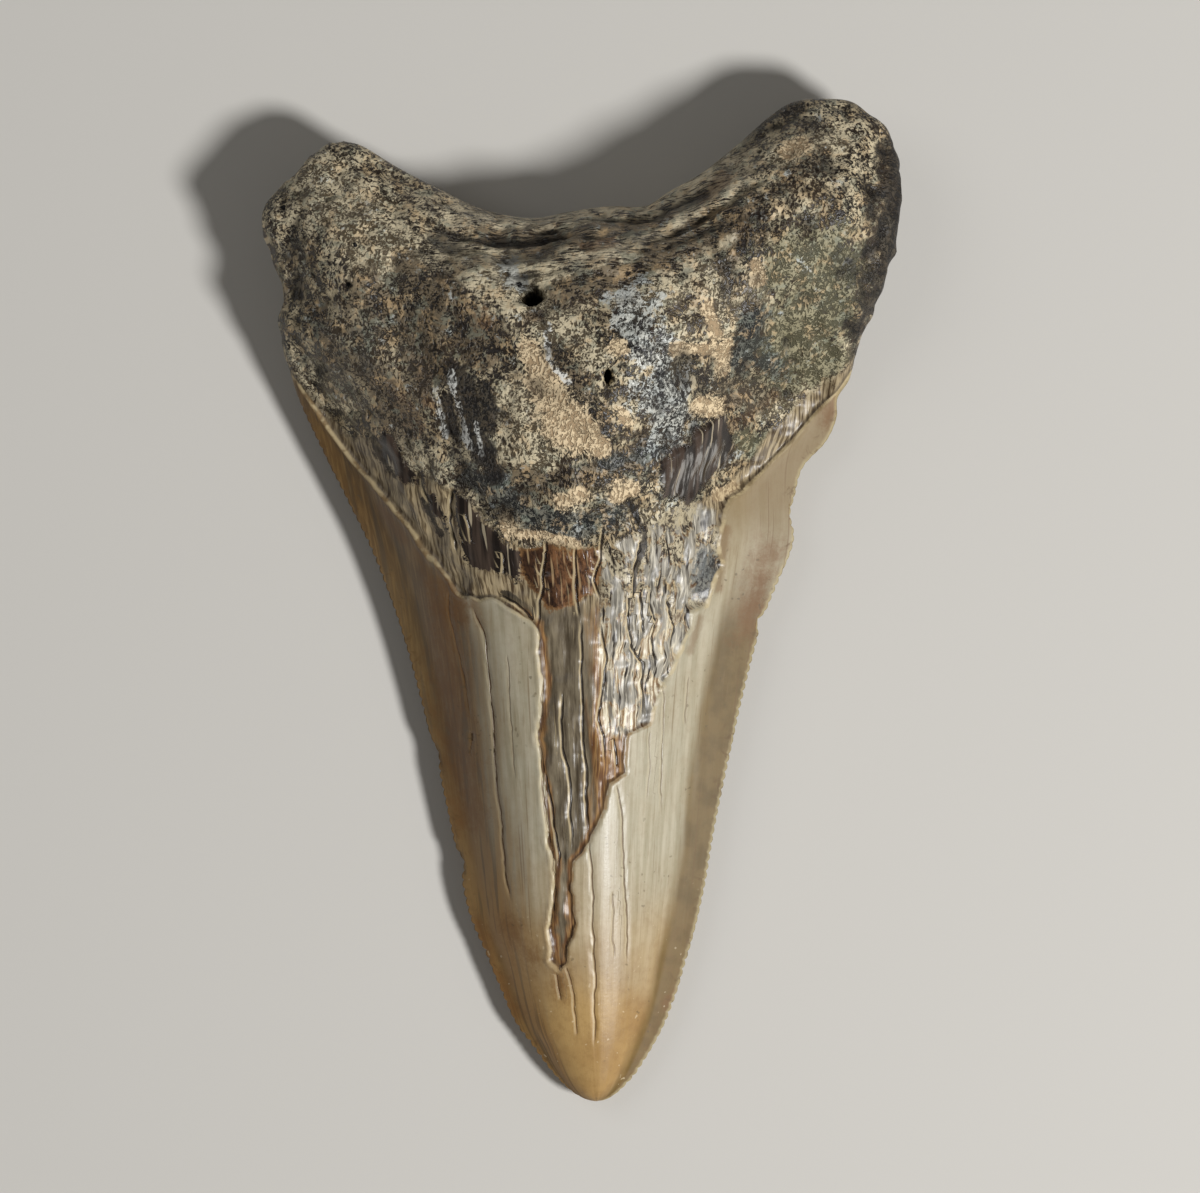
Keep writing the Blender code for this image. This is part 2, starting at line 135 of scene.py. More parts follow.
# Cracks: half-width, depth, then x and y of each point.
ENAMEL_CRACKS = {
    "long left crack": (
        0.22, 0.18, -10.1, -0.4, -9.1, -2.8, -8.5, -7.9, -8.2, -12.1, -7.9, -16.9, -7.5, -20.6, -7.1, -25.6,
        -6.6, -27.9,
    ),
    "hairline beside it": (0.12, 0.06, -6.8, -4.8, -6.7, -10.1, -6.2, -16.7),
    "far left crack": (0.15, 0.1, -12.3, 1, -12.3, -1.4, -11.6, -4.3, -11.1, -6.2, -10.7, -8, -10.2, -11),
    "pit below it": (0.35, 0.18, -10.2, -12.1, -10.3, -13),
    "thread below the pit": (0.12, 0.07, -10.3, -13, -10.4, -14.2),
    "strip's left side": (
        0.26, 0.27, -4.2, -2.6, -3.9, -5, -3.7, -7.2, -3.7, -10.1, -4, -12.6, -3.7, -16.5, -3.5, -19.3,
        -3.1, -22.1, -2.5, -25.3, -2.6, -28.1, -3, -30, -2.9, -32.3,
    ),
    "middle crack": (0.2, 0.17, 0.6, -22.1, 0.9, -24.9, 1, -30.2, 1.2, -33.7, 1.2, -38.3, 1.1, -41.3),
    "its twin": (0.12, 0.07, 0.8, -30, 0.9, -33.2, 1.1, -36),
    "crack under the strip": (0.18, 0.13, -1.4, -33.7, -1.1, -34.9, -0.8, -36.4, -0.7, -38.3, -0.5, -40.4),
    "strip's tail": (0.3, 0.15, -2.5, -34.3, -2.3, -35.5, -2, -36.9),
    "right crack": (0.2, 0.15, 3.1, -16.7, 3.7, -19.4, 3.8, -23.8, 3.9, -25.1, 4.2, -30.2, 4.1, -33.9),
    "short right crack": (0.12, 0.07, 2.8, -26.7, 2.9, -30, 2.9, -33),
    "thin right crack": (0.13, 0.08, 7.4, -5.5, 7.5, -10.8, 7.2, -20.1),
    "thin outer crack": (0.12, 0.06, 9.8, -6.9, 9.5, -11.6),
    "faint crack": (0.12, 0.05, 6.2, -11.9, 6.2, -14.7, 6, -18.4),
}
NECK_CRACKS = {
    "plate's upper side": (0.2, 0.3, -8, 0.5, -6.2, -0.2, -4.3, -2.2),
    "rust's left side": (0.2, 0.25, -3.4, 4.8, -3.7, 1, -4.2, -2.3),
    "strip's middle": (
        0.22, 0.3, -0.1, -1.6, 0, -5.5, 0.1, -9.2, 0.1, -13, 0.4, -14.7, 0.5, -18.4, 0.6, -22.1,
    ),
    "strip's left channel": (0.2, 0.22, -1.9, -8.2, -1.9, -13.5, -1.3, -15.4, -1.1, -18.4, -1, -23.3),
    "strip's left thread": (0.18, 0.2, -3.6, -15.7, -3, -18.4, -2.5, -21.2, -2.1, -24.9),
    "first splinter": (0.2, 0.3, 1.6, -1.9, 2.4, -5.5, 1.9, -8.9, 1.6, -10.8, 2.1, -12.6, 2.2, -15),
    "second splinter": (0.24, 0.4, 4.3, 1, 4.3, -2.6, 4.8, -4.3, 5.9, -5.7, 6, -8.4, 5.8, -11.1),
    "third splinter": (0.18, 0.3, 5.5, 1, 5.8, -3.1),
    "fourth splinter": (0.2, 0.35, 6.5, 1, 6.9, -3.1, 6.9, -5.5),
    "fifth splinter": (0.2, 0.3, 8.2, 0.1, 8.6, -2.3, 8.4, -4.8),
    "sixth splinter": (0.18, 0.25, 3.1, -12.6, 3.5, -15.4),
    "dark split": (0.3, 0.6, 5.2, 5.6, 5, 4.1, 4.9, 1.9, 4.9, -0.3),
    "glaze's first split": (0.2, 0.3, -12.2, 10.1, -12.3, 7.2, -11.5, 4.1),
    "glaze's second split": (0.15, 0.2, -10.6, 8, -10.1, 5.2),
    "glaze's third split": (0.15, 0.2, -7.4, 4.5, -7.3, 2.3),
    "rust's first split": (0.18, 0.25, -3.3, 5.5, -3.2, -0.3),
    "rust's second split": (0.18, 0.25, -0.6, 5, -0.6, 1.2, -0.2, -1.6),
    "rust's third split": (0.2, 0.3, 2, 7.2, 1.7, 3.7, 1.1, 1.9, 1.7, 0.1),
    "left streak's split": (0.15, 0.2, -15.2, 11.4, -14.1, 9),
}
ROOT_FURROWS = {
    "arc above the foramen": (0.45, 0.3, -14.3, 29.3, -11.3, 30.6, -7.3, 31.4, -4.9, 31.8, -2.3, 31.8),
    "right lobe's groove": (0.45, 0.35, 16.8, 36, 15.3, 34.9, 14.5, 33.9, 14.2, 32.1),
}
CRACK_TAPER_IN, CRACK_TAPER_OUT = 0.06, 0.12  # shares of a crack's length over which it starts and ends
FULL_DEPTH, LEAST_STRENGTH = 0.2, 0.3  # depth of a crack drawn at full strength, and the finest one's share
CRACK_REACH, CRACK_CORE = 0.75, 0.45  # how far from a crack its drawing can lie, and lies in full

# Outlines of glossy remains of the bourlette, of red-brown dentine, and of dentine split into splinters.
PATCHES = {
    "glaze": [
        [(-11.8, 9.9), (-10.6, 9.3), (-9.5, 7.9), (-7.6, 5.6), (-6, 4.4), (-5.7, 1.6), (-7.2, 2.2),
         (-9.5, 3.1), (-11, 3.8), (-11.5, 6.6)],
        [(-18.6, 15.5), (-17.8, 15.1), (-16.4, 12.8), (-15.6, 10.8), (-16.5, 10.8), (-17.6, 12.1),
         (-18.7, 13.2)],
        [(-15.2, 11.6), (-14.1, 9.8), (-12.5, 7.8), (-12.6, 6.2), (-14.1, 8.7)],
        [(11.2, 15.8), (13.3, 17.3), (14, 14.4), (13.5, 12.8), (11.3, 10.5), (10, 9), (9.1, 9.8),
         (7.5, 9.3), (7.3, 12.3), (9.3, 14)],
    ],
    "rust": [
        [(-5.8, 4.7), (-3.4, 5.1), (-0.7, 4.5), (1.6, 5.2), (1.4, 1), (-1.6, -0.6), (-3.2, -0.8), (-4.4, 1),
         (-5.8, 2.4)],
    ],
    "splinters": [
        [(1.6, 7.9), (5.3, 8), (7.6, 9.3), (10.9, 9), (12.5, 8.3), (13.6, 3.4), (12.2, -0.9), (10.8, -1.3),
         (9.6, -5), (8.4, -7.4), (6.9, -11.4), (4.4, -12.4), (2, -12.4), (1.4, -3.6), (1.8, 3.8)],
    ],
}
NECK = [  # where the root's texture ends; the enamel covers it below
    (-27.8, 21.4), (-25, 18.3), (-23.4, 16.6), (-21.3, 14.8), (-19.5, 14.9), (-17.6, 13.5), (-16.4, 11.9),
    (-14.6, 11.3), (-12.7, 10.1), (-11.5, 9.8), (-9.9, 8.6), (-8.6, 7), (-7.2, 5.2), (-5.3, 4.9), (-2.1, 5),
    (0, 4.6), (1.6, 5), (3.5, 5.6), (5.3, 6.4), (8.1, 8), (9.6, 9), (11.4, 9.2), (13.6, 10.4), (15.2, 12.4),
    (17.2, 15.2), (20.3, 18.2), (23.3, 20.8), (27, 25), (20, -50), (-20, -50),
]
FAR_OUTSIDE = -9.0

# Stains, with a painted sheen and painted shade among them, as broad strokes: half-width, then x and y of
# each point.
STAINS_AND_PAINTED_LIGHT = {
    "pale": [
        (4.2, -25, 38, -20.6, 35, -17.5, 31), (2.6, -9, 30.6, -6.4, 29.4, -3.4, 29.6),
        (2.4, -6.6, 18.6, -5.8, 15.4, -4.4, 12.6), (2, 18, 40.4, 23.4, 42.2), (1.6, -9.4, 13.6, -7.5, 13.4),
        (1.2, 6.6, 7.4, 9.6, 8.2), (1.6, 5.4, 27, 9, 28.6), (1.4, -16.6, 12.9, -14, 12.4),
        (1.2, 9, 21, 8.8, 24.2), (2, -24.4, 20.8, -21.6, 17.8), (1.4, 15.6, 28.8, 17.2, 26.4),
        (1.7, 11.4, 30.4, 13.6, 27.6, 12.8, 24.6), (1.2, 14.8, 18.6, 17.4, 17.6),
        (0.9, 18.4, 18.2, 22.4, 20.8), (0.8, 25.2, 28.6, 25, 26.6), (0.6, 24.4, 23.6, 24.1, 22.2),
        (0.8, 21.4, 24.4, 22.6, 22.4), (1.8, -3.8, 26, -1.4, 24.2, 0.8, 22.4),
    ],
    "dark": [
        (2.3, -16, 29.4, -12, 26.6, -8.6, 23), (1.4, -2, 28, 1.6, 29, 5, 30.2),
        (1.1, -9.4, 33.6, -2.1, 33.2, 5.3, 34.6), (1.7, -17.4, 28, -15, 24, -13.6, 21),
        (1.6, 6.8, 31.5, 10.5, 33.6, 15.5, 35.6), (1, 24, 27.6, 25.2, 26.4), (1, 18.6, 39, 22, 41),
        (1, 12.6, 31, 16, 33.4), (0.9, -2.2, 22.6, 0.6, 18.6, 2.2, 15.6), (1, -24.6, 26.6, -23.4, 22.4),
        (0.9, 6.4, 11.4, 5.6, 14.6), (1.2, -8.2, 11.4, -3, 10.4, 1, 11.6, 5, 12.2),
        (1.2, -18.9, 20.4, -17.9, 17.2), (1.6, -19.6, 29, -17.8, 26), (0.9, 23.8, 25.4, 26.2, 24.8),
        (0.6, 23.4, 29.6, 23.8, 26.6, 23, 24.2), (1.1, 15.9, 26.6, 14.9, 24.2, 14.8, 21.8),
    ],
    "green": [
        (4, 22.6, 31, 21.4, 27, 18.6, 22.6), (1.8, 17.6, 29.4, 19, 32), (1.2, 14.6, 15, 17, 14.2),
        (1.5, 21.5, 21, 23.5, 22.5),
    ],
    "clay": [
        (2.4, -20.6, 25.6, -19.4, 20.6, -17.4, 16.2), (1.8, -15.6, 24.6, -14.8, 20.2),
        (1.5, -23.4, 24.6, -22, 20), (1.6, 13.4, 19.4, 16.2, 18.8),
    ],
    # painted sheen: pale strokes that paint the silvery sheen on the root's boss and on the glaze
    "painted_sheen": [
        (1.3, 8.4, 10.4, 10.4, 12, 12.2, 13.4), (2, 4.6, 26.8, 6.4, 22.6, 7.4, 18.6, 8.4, 15.6),
        (1.6, 8, 19.6, 9, 16.8), (1, -6.6, 30.2, -6.2, 29.8),
    ],
    "slate": [
        (1.5, 15.9, 25.8, 15.3, 22), (1.1, 15.3, 22, 18.4, 21.2), (1.2, -10.6, 11.4, -7.6, 9.8, -5.4, 8.2),
        (1.3, -4.4, 7.6, -0.7, 6.8, 1.6, 7, 2.8, 7.8), (0.8, 2, 12.4, 5.4, 13.2, 7.2, 13.2),
        (1, 11.9, 3.8, 11.6, 1), (0.8, -20.6, 24.6, -20, 21.6),
    ],
    "tan": [
        (0.9, -5.2, 23.2, -3.9, 20.6), (1.6, -3.9, 20.2, -1.8, 16.6), (2, -1.9, 16.6, 0.4, 14.6),
        (1.1, 0.4, 16, 1.9, 13.8), (1, -1.6, 9.2, -0.4, 9.6), (0.9, 3.4, 9.7, 4.6, 10.2),
        (0.7, -7.4, 7.4, -6.8, 6.4), (0.8, 3, 23.3, 3.5, 22.9), (0.7, 8.8, 22.7, 13.6, 22.9),
        (0.7, 11.6, 26.8, 12.4, 24), (0.6, 13.3, 23.4, 13.2, 20.8), (0.9, 16, 30.4, 16.3, 29.3),
        (0.9, 18.6, 41.4, 20.4, 42.2), (1, 11, 17.7, 12.6, 17.6), (0.6, 3.6, 16.8, 4.2, 16.2),
        (0.4, -6, 5.8, -3.4, 5.8, -0.4, 5.1), (0.6, 14.4, 10.6, 12.8, 9.6),
    ],
    "rusty": [
        (0.7, -9.4, 26.3, -8.9, 25.4), (0.5, -4.9, 26, -3.9, 26.1), (0.5, 6.2, 34.6, 8.6, 36.4),
        (0.8, 11, 37.2, 13, 39), (1, -17, 19.4, -15.6, 15.8), (0.6, 0.4, 32.4, 3, 32.8),
        (0.6, 13.6, 18, 15.2, 18.9), (0.7, -14.8, 22.6, -14, 17.8), (0.6, 13.4, 15.6, 15.6, 17.2, 18, 19),
    ],
    "black_and_painted_shade": [
        (0.3, 5.6, 6, 5, 3.8, 4.9, 0.8), (0.35, -7.4, 0.5, -5.9, -0.1, -4.3, -1.9),
        (0.6, -19.4, 14.6, -17.6, 11.6), (0.4, -14.6, 9.2, -13.4, 6), (0.25, 4.6, 8.8, 5.6, 6.2),
        (1.1, -11.2, 20.6, -10.2, 17, -9.6, 13.4), (0.6, -12.6, 18.6, -12.2, 15.4),
        (0.6, -8.8, 19.6, -8.5, 15.4), (0.9, -9.8, 16.2, -9, 13.4, -8.4, 11.4),
        # The wide stroke along the root's right side is painted shade; the others are dark marks.
        (3.4, 31.2, 44, 30.4, 36, 29.6, 29.6, 28, 22), (0.3, 24.2, 25.3, 26.4, 24.9),
    ],
    "white": [
        (0.26, -13.4, 19.6, -13.3, 17.2, -12.9, 14.8), (0.3, -12, 20.8, -11.5, 17.2, -10.6, 13.8),
        (0.25, -3.2, 25.2, -3, 21.8, -1.4, 19.8), (0.22, -9.8, 16, -9.6, 13.2),
    ],
    "amber": [
        (0.7, -15.2, 4.6, -14, 1.6, -13.2, -0.8), (0.7, -11.7, 0.9, -11, -1.8), (0.5, -9.9, 0, -9.5, -2.2),
        (0.5, -18.6, 8.6, -16.4, 5.6), (0.5, 13.3, 6.6, 12.7, 3.2, 12.6, 1.2), (0.4, 10.9, -1.6, 10, -4.6),
        (0.7, 16.6, 1.8, 15.9, -0.6),
    ],
    "brown": [
        (1.8, -12.4, 1.5, -12.6, -4, -12, -12, -10.6, -20), (1.2, -6.8, -30, -4.6, -33),
        (0.9, -9.6, -30, -8.3, -34.2, -6.2, -38), (0.7, 7.9, -37.4, 8.6, -36.6),
        (1.7, 15.2, -2.4, 16.3, 1, 17.2, 4.4), (0.9, 23.6, 18.9, 22.6, 16.6),
        (0.8, -1.8, -26.4, -1.2, -28.6), (0.9, -2, -34.6, -1.9, -36.4),
    ],
}

# Holes: x, y, half-width, half-length, depth.
FORAMINA = [(-4.7, 28.0, 1.05, 0.88, 3.5), (2.45, 20.3, 0.42, 0.75, 2.2)]
SMALL_PITS = [
    (-20.8, 32.7, 0.3, 0.3, 0.7), (-21.5, 28.9, 0.3, 0.3, 0.5), (-27.8, 36.4, 0.3, 0.3, 0.6),
    (-5.9, 29.3, 0.35, 0.35, 0.5),
]
HOLES = FORAMINA + SMALL_PITS

# Relief that runs in patterns: height, size and seed of each.
LUMPS = [(0.34, 5.0, 21), (0.24, 1.9, 22)]
PITS = [(0.22, 0.9, 23, 0.4), (0.12, 1.9, 26, 0.5)]  # and the level of noise that they start from
BASAL_WAVES = (0.34, 1.3, 24)
NECK_FIBRES, STRIP_FIBRES, WORN_FIBRES = (0.10, 1.1, 25), (0.16, 0.85, 34), (0.14, 0.9, 33)
SPLINTER_RIDGES = [(0.30, 1.15, 31), (0.14, 0.55, 32)]
ENAMEL_SWELL = (0.05, 2.2, 35)
FIBRE_SHARES = (1.0, 0.14, 0.3)  # of sideways, y and z, so that fibres are drawn out along the tooth
WAVE_ACROSS, WAVE_DOWN = 9.6, 89.0  # the waves' pattern over the width and the length, in millimetres
SIDEWAYS_PLACE, SIDEWAYS_SHARE = 0.5, 8.0  # of x and of across: fibres close up towards the tip
CRACK_WANDER, OUTLINE_WANDER = (0.12, 1.3, 11, 2), (0.22, 1.6, 12, 3)  # and the number of layers

# The cutting edges' serrations, and chips of them: side, y, depth, half-width.
CROWN_START = 0.26  # share of the way down at which the cutting edges begin
SERRATIONS = 86
SERRATION_DEPTH = 0.22
SERRATION_REACH = 0.4  # how far in from the edge a serration's notch runs
WORN_SERRATIONS = {-1: 4, 1: 22}  # how many are worn down at the top of the left and of the right edge
WORN_AT_TIP = 6
WEAR, WEAR_SIZE, WEAR_SEED = 0.35, 2.5, 5  # how unevenly serrations are worn, in groups of about this many
CHIPS = [(-1, -14.2, 0.35, 1.2), (-1, -24.3, 0.5, 1.0), (1, 8.0, 0.4, 1.3), (1, -2.0, 0.45, 0.7)]

# ---- The net ----

ROOT_ROWS = 75
ROWS_A_SERRATION = 4
CROWN_ROWS = SERRATIONS * ROWS_A_SERRATION
LINGUAL_COLUMNS = 156
LABIAL_COLUMNS = LINGUAL_COLUMNS // 2
RIM_CROWDING = 0.5  # how much closer the columns lie at the rim, where the root is round
RIM_FADE = 0.06  # share of the half-width over which relief comes in from the rim
BASAL_FADE, TIP_FADE = 0.012, 0.985  # shares of the way down between which relief is at full height
BASAL_CROWDING = 1.5  # power that crowds the rows at the basal edge
BACK_HEIGHT = 16.0  # where the basal side turns over into the root's back
FORAMEN_CROWDING, FORAMEN_REACH = 0.62, 5.5  # how hard, and from how far, the net gathers at a foramen
NOISE_CELLS = 48  # a side, after which the noise repeats


def ease(low, high, value):
    """0 at low and 1 at high, eased at both ends."""
    share = np.clip((value - low) / (high - low), 0.0, 1.0)
    return share * share * (3.0 - 2.0 * share)


def smooth_curve(points, steps=12):
    """Catmull-Rom curve through the points, in short steps, and the length run at each."""
    p = np.array(points, float)
    p = np.vstack([2 * p[0] - p[1], p, 2 * p[-1] - p[-2]])
    before, start, end, after = (p[k : len(p) - 3 + k, None] for k in range(4))
    t = np.linspace(0.0, 1.0, steps, endpoint=False)[None, :, None]
    run = 0.5 * (
        2 * start
        + (end - before) * t
        + (2 * before - 5 * start + 4 * end - after) * t**2
        + (3 * start - before - 3 * end + after) * t**3
    )
    run = np.vstack([run.reshape(-1, 2), p[-2]])
    length = np.concatenate([[0.0], np.cumsum(np.linalg.norm(np.diff(run, axis=0), axis=1))])
    return run, length


def along(curve, share):
    """The points at these shares of the curve's length."""
    run, length = curve
    at = np.asarray(share) * length[-1]
    return np.stack([np.interp(at, length, run[:, 0]), np.interp(at, length, run[:, 1])], -1)


def height_at(stations, share):
    """Smooth height between (share, height) stations."""
    run, _ = smooth_curve(stations)
    return np.interp(share, run[:, 0], run[:, 1])


def mound(x, y, place):
    """Bell-shaped lump: height times e to the minus squared distance, in half-sizes."""
    cx, cy, across, lengthways, turn, height = place
    c, s = math.cos(math.radians(turn)), math.sin(math.radians(turn))
    a = ((x - cx) * c + (y - cy) * s) / across
    b = ((y - cy) * c - (x - cx) * s) / lengthways
    return height * np.exp(-(a * a + b * b))


def pairs(flat):
    """Points from their x and y in turn."""
    return list(zip(flat[::2], flat[1::2]))


def to_line(x, y, points):
    """Distance to a run of straight pieces, share reached, and side: +1 left of its way, -1 right."""
    nearest = np.full(np.shape(x), np.inf)
    reached, side = np.zeros(np.shape(x)), np.ones(np.shape(x))
    pieces = len(points) - 1
    for k, ((ax, ay), (bx, by)) in enumerate(zip(points, points[1:])):
        dx, dy = bx - ax, by - ay
        t = np.clip(((x - ax) * dx + (y - ay) * dy) / (dx * dx + dy * dy), 0.0, 1.0)
        distance = np.hypot(x - ax - t * dx, y - ay - t * dy)
        closer = distance < nearest
        nearest = np.where(closer, distance, nearest)
        reached = np.where(closer, (k + t) / pieces, reached)
        side = np.where(closer, np.sign(dx * (y - ay) - dy * (x - ax)), side)
    return nearest, reached, side


def depth_inside(x, y, corners):
    """Distance to an outline: positive inside, where a ray crosses it an odd number of times."""
    nearest, _, _ = to_line(x, y, corners + corners[:1])
    inside = np.zeros(np.shape(x), bool)
    for (ax, ay), (bx, by) in zip(corners, corners[1:] + corners[:1]):
        crosses = (ay > y) != (by > y)
        inside ^= crosses & (x < ax + (bx - ax) * (y - ay) / ((by - ay) or 1e-9))
    return np.where(inside, nearest, -nearest)


def value_noise(points, seed):
    """Random heights from -1 to 1 at whole-number corners, eased between them."""
    table = np.random.default_rng(seed).uniform(-1.0, 1.0, (NOISE_CELLS,) * 3)
    cell = np.floor(points).astype(int)
    share = points - cell
    share = share * share * (3.0 - 2.0 * share)
    total = 0.0
    for corner in itertools.product((0, 1), repeat=3):
        weight = np.prod(np.where(corner, share, 1.0 - share), axis=-1)
        i, j, k = np.moveaxis((cell + corner) % NOISE_CELLS, -1, 0)
        total = total + weight * table[i, j, k]
    return total


def layered_noise(points, size, seed, layers=3):
    """Value noise of this size, plus half as much at half the size, and so on."""
    layer = (value_noise(np.asarray(points) / size * 2**k, seed + k) * 0.5**k for k in range(layers))
    return sum(layer)


def ridges(points, size, seed, layers=2):
    """Sharp-topped noise: one minus twice the absolute value of layered noise."""
    return 1.0 - 2.0 * np.abs(layered_noise(points, size, seed, layers))


def dents(points, size, seed, level):
    """Round dents: 0 where value noise is at this level, and full depth where it is at 0.8."""
    return ease(level, 0.8, value_noise(points / size, seed))


def pattern(kind, points, *relief):
    """Sum of noises: each row is a height and then its noise's settings."""
    return sum(height * kind(points, *settings) for height, *settings in relief)


# ---- Overall shape ----

ROOT_CURVE, LEFT_CURVE, RIGHT_CURVE = map(smooth_curve, (ROOT_EDGE, LEFT_EDGE, RIGHT_EDGE))


def plan(across, down):
    """Place seen from above: on a row between the edges, bowed as the basal edge is."""
    left, right = along(LEFT_CURVE, down), along(RIGHT_CURVE, down)
    basal = along(ROOT_CURVE, across)
    a, d = across[..., None], down[..., None]
    chord = (1 - a) * np.array(ROOT_EDGE[0]) + a * np.array(ROOT_EDGE[-1])
    place = (1 - a) * left + a * right + (1 - d) * (basal - chord)
    return place[..., 0], place[..., 1]


def lift_to_rim(across, down):
    """Shares of full height, 0 on the outline: across, at the basal end, at the tip. Then share of crown.

    Across, the root is a rounded arch, and the crown is a dome between a flatter band by each edge.
    """
    u = np.abs(2 * across - 1)
    crown = ease(ROOT_SHARE, CROWN_SHARE, down)
    rounded = np.sqrt(np.maximum(1 - u**ROOT_ROUNDNESS, 0.0))
    band = np.where(across < 0.5, LEFT_BAND, RIGHT_BAND)
    dome = 1 - (u / (band + BAND_OVERLAP)) ** 2
    ramp = BAND_RISE * (1 - u) / (1 - band)
    blade = 0.5 * (dome + ramp + np.hypot(dome - ramp, BAND_SOFTNESS))
    section = rounded + (blade - rounded) * crown
    basal = 1 - np.clip(1 - down / BASAL_ROUNDING, 0, 1) ** 2
    tip = 1 - np.clip(1 - (1 - down) / TIP_ROUNDING, 0, 1) ** 2
    return section, np.sqrt(basal), np.sqrt(tip), crown


def lingual_height(across, down, x, y):
    """Upper face: the root's boss and lobes, the crown's crest and lumps, over the rim."""
    section, basal, tip, crown = lift_to_rim(across, down)
    u = 2 * across - 1
    lobes = 1 - LOBE_DROP * (1 - crown) * (1 - np.exp(-((u / BOSS_WIDTH) ** 2)))
    lift = section * basal * tip
    rim = height_at(RIM, down)
    height = rim + (height_at(CREST, down) - rim) * lift * lobes
    for place in LINGUAL_LUMPS.values():
        height = height + mound(x, y, place) * lift
    return height


def labial_height(across, down, x, y):
    """Lower face: flat along the middle, where it rests, and curving up to the rim."""
    section, basal, tip, crown = lift_to_rim(across, down)
    lift = section ** (LABIAL_FULLNESS + (1 - LABIAL_FULLNESS) * crown) * basal * tip
    height = height_at(RIM, down) * (1 - LABIAL_FLAT * lift)
    hollows = sum(mound(x, y, place) for place in LABIAL_HOLLOWS.values())
    bend = TIP_LIFT * ease(TIP_LIFT_START, 1.0, down)
    return np.maximum(height, bend) + hollows * ease(0.0, 0.4, lift)


# ---- The net's lines ----


def row_shares():
    """Shares down: crowded at the basal edge, then evenly spaced with the serrations."""
    root = CROWN_START * np.linspace(0.0, 1.0, ROOT_ROWS, endpoint=False) ** BASAL_CROWDING
    return np.concatenate([root, np.linspace(CROWN_START, 1.0, CROWN_ROWS + 1)[:-1]])


def ring_shares():
    """Shares across, once round: right over the lingual face, left under the labial one."""
    over = np.linspace(0.0, 1.0, LINGUAL_COLUMNS, endpoint=False)
    under = np.linspace(1.0, 0.0, LABIAL_COLUMNS, endpoint=False)
    even = np.concatenate([over, under])
    return even - RIM_CROWDING * np.sin(2 * math.pi * even) / (2 * math.pi)


def gather_at_foramina(across, down, lingual):
    """Draws the net together round each foramen, most at its middle."""
    for x0, y0, *_ in FORAMINA:
        x, y = plan(across, down)
        away = np.where(lingual, np.hypot(x - x0, y - y0), np.inf)
        middle = np.unravel_index(np.argmin(away), away.shape)
        pull = FORAMEN_CROWDING * np.maximum(1 - (away / FORAMEN_REACH) ** 2, 0.0) ** 2
        across, down = across + pull * (across[middle] - across), down + pull * (down[middle] - down)
    return across, down


def edge_offset(side, down, y):
    """How far a cutting edge stands out of its curve: worn serrations, less the chips."""
    phase = (down - CROWN_START) / (1 - CROWN_START) * SERRATIONS
    kept = ease(0, WORN_SERRATIONS[side], phase) * ease(0, WORN_AT_TIP, SERRATIONS - phase)
    place = np.stack([phase / WEAR_SIZE, 0 * phase, 0 * phase + side], -1)
    wear = 1 - WEAR + WEAR * value_noise(place, WEAR_SEED)
    offset = SERRATION_DEPTH * kept * wear * (np.abs(np.sin(np.pi * phase)) - 1)
    for chip_side, chip_y, depth, half_width in CHIPS:
        if chip_side == side:
            offset = offset - depth * np.exp(-(((y - chip_y) / half_width) ** 2))
    return offset


def serrate(x, y, rows):
    """Moves the points near each cutting edge outwards by its offset."""
    step = 0.01  # share of the edge that its direction is taken over, each way
    for side, curve in ((-1, LEFT_CURVE), (1, RIGHT_CURVE)):
        place = along(curve, rows)
        heading = along(curve, np.minimum(rows + step, 1.0)) - along(curve, np.maximum(rows - step, 0.0))
        heading /= np.linalg.norm(heading, axis=1)[:, None]
        outward = np.stack([heading[:, 1], -heading[:, 0]], 1) * -side
        away = np.hypot(x - place[:, :1], y - place[:, 1:])
        move = edge_offset(side, rows, place[:, 1])[:, None] * np.exp(-((away / SERRATION_REACH) ** 2))
        x, y = x + move * outward[:, :1], y + move * outward[:, 1:]
    return x, y


def smooth_tooth():
    """The overall shape: points, shares across and down, and which points are lingual."""
    rows = row_shares()
    down, across = np.meshgrid(rows, ring_shares(), indexing="ij")
    lingual = np.broadcast_to(np.arange(down.shape[1]) <= LINGUAL_COLUMNS, down.shape)
    across, down = gather_at_foramina(across, down, lingual)
    x, y = plan(across, down)
    x, y = serrate(x, y, rows)
    z = np.where(lingual, lingual_height(across, down, x, y), labial_height(across, down, x, y))
    return np.stack([x, y, z], -1), across, down, lingual


def outward_normals(points):
    """Unit normals: the cross product of the net's slopes round a ring and down the rows."""
    round_ring = (np.roll(points, -1, axis=1) - np.roll(points, 1, axis=1)) / 2
    down_rows = np.gradient(points, axis=0)
    normal = np.cross(down_rows, round_ring)
    return normal / np.maximum(np.linalg.norm(normal, axis=-1), 1e-9)[..., None]


# ---- Relief and finish fields ----


def grooves(x, y, lines, wander):
    """V-shaped cracks that taper to their ends: depth, how near and strong one is, and how far right of it.

    The last is signed, so that the finish can draw a line finer than the net.
    """
    depth, near, right = (np.zeros(np.shape(x)) for _ in range(3))
    for half_width, deep, *flat in lines.values():
        away, reached, side = to_line(x + wander, y, pairs(flat))
        taper = ease(0.0, CRACK_TAPER_IN, reached) * ease(0.0, CRACK_TAPER_OUT, 1.0 - reached)
        depth = np.maximum(depth, deep * taper * np.maximum(1.0 - away / half_width, 0.0))
        drawn = LEAST_STRENGTH + (1 - LEAST_STRENGTH) * min(deep / FULL_DEPTH, 1.0)
        strength = drawn * taper * ease(CRACK_REACH, CRACK_CORE, away)
        right = np.where(strength > near, np.clip(away * side, -0.8, 0.8), right)
        near = np.maximum(near, strength)
    return depth, near, right


def inside_strokes(x, y, strokes):
    """How far inside the nearest stroke: 1 on its line, 0 at its half-width, -1 far outside."""
    shares = [1.0 - to_line(x, y, pairs(flat))[0] / half_width for half_width, *flat in strokes]
    return np.maximum(np.max(shares, axis=0), -1.0)


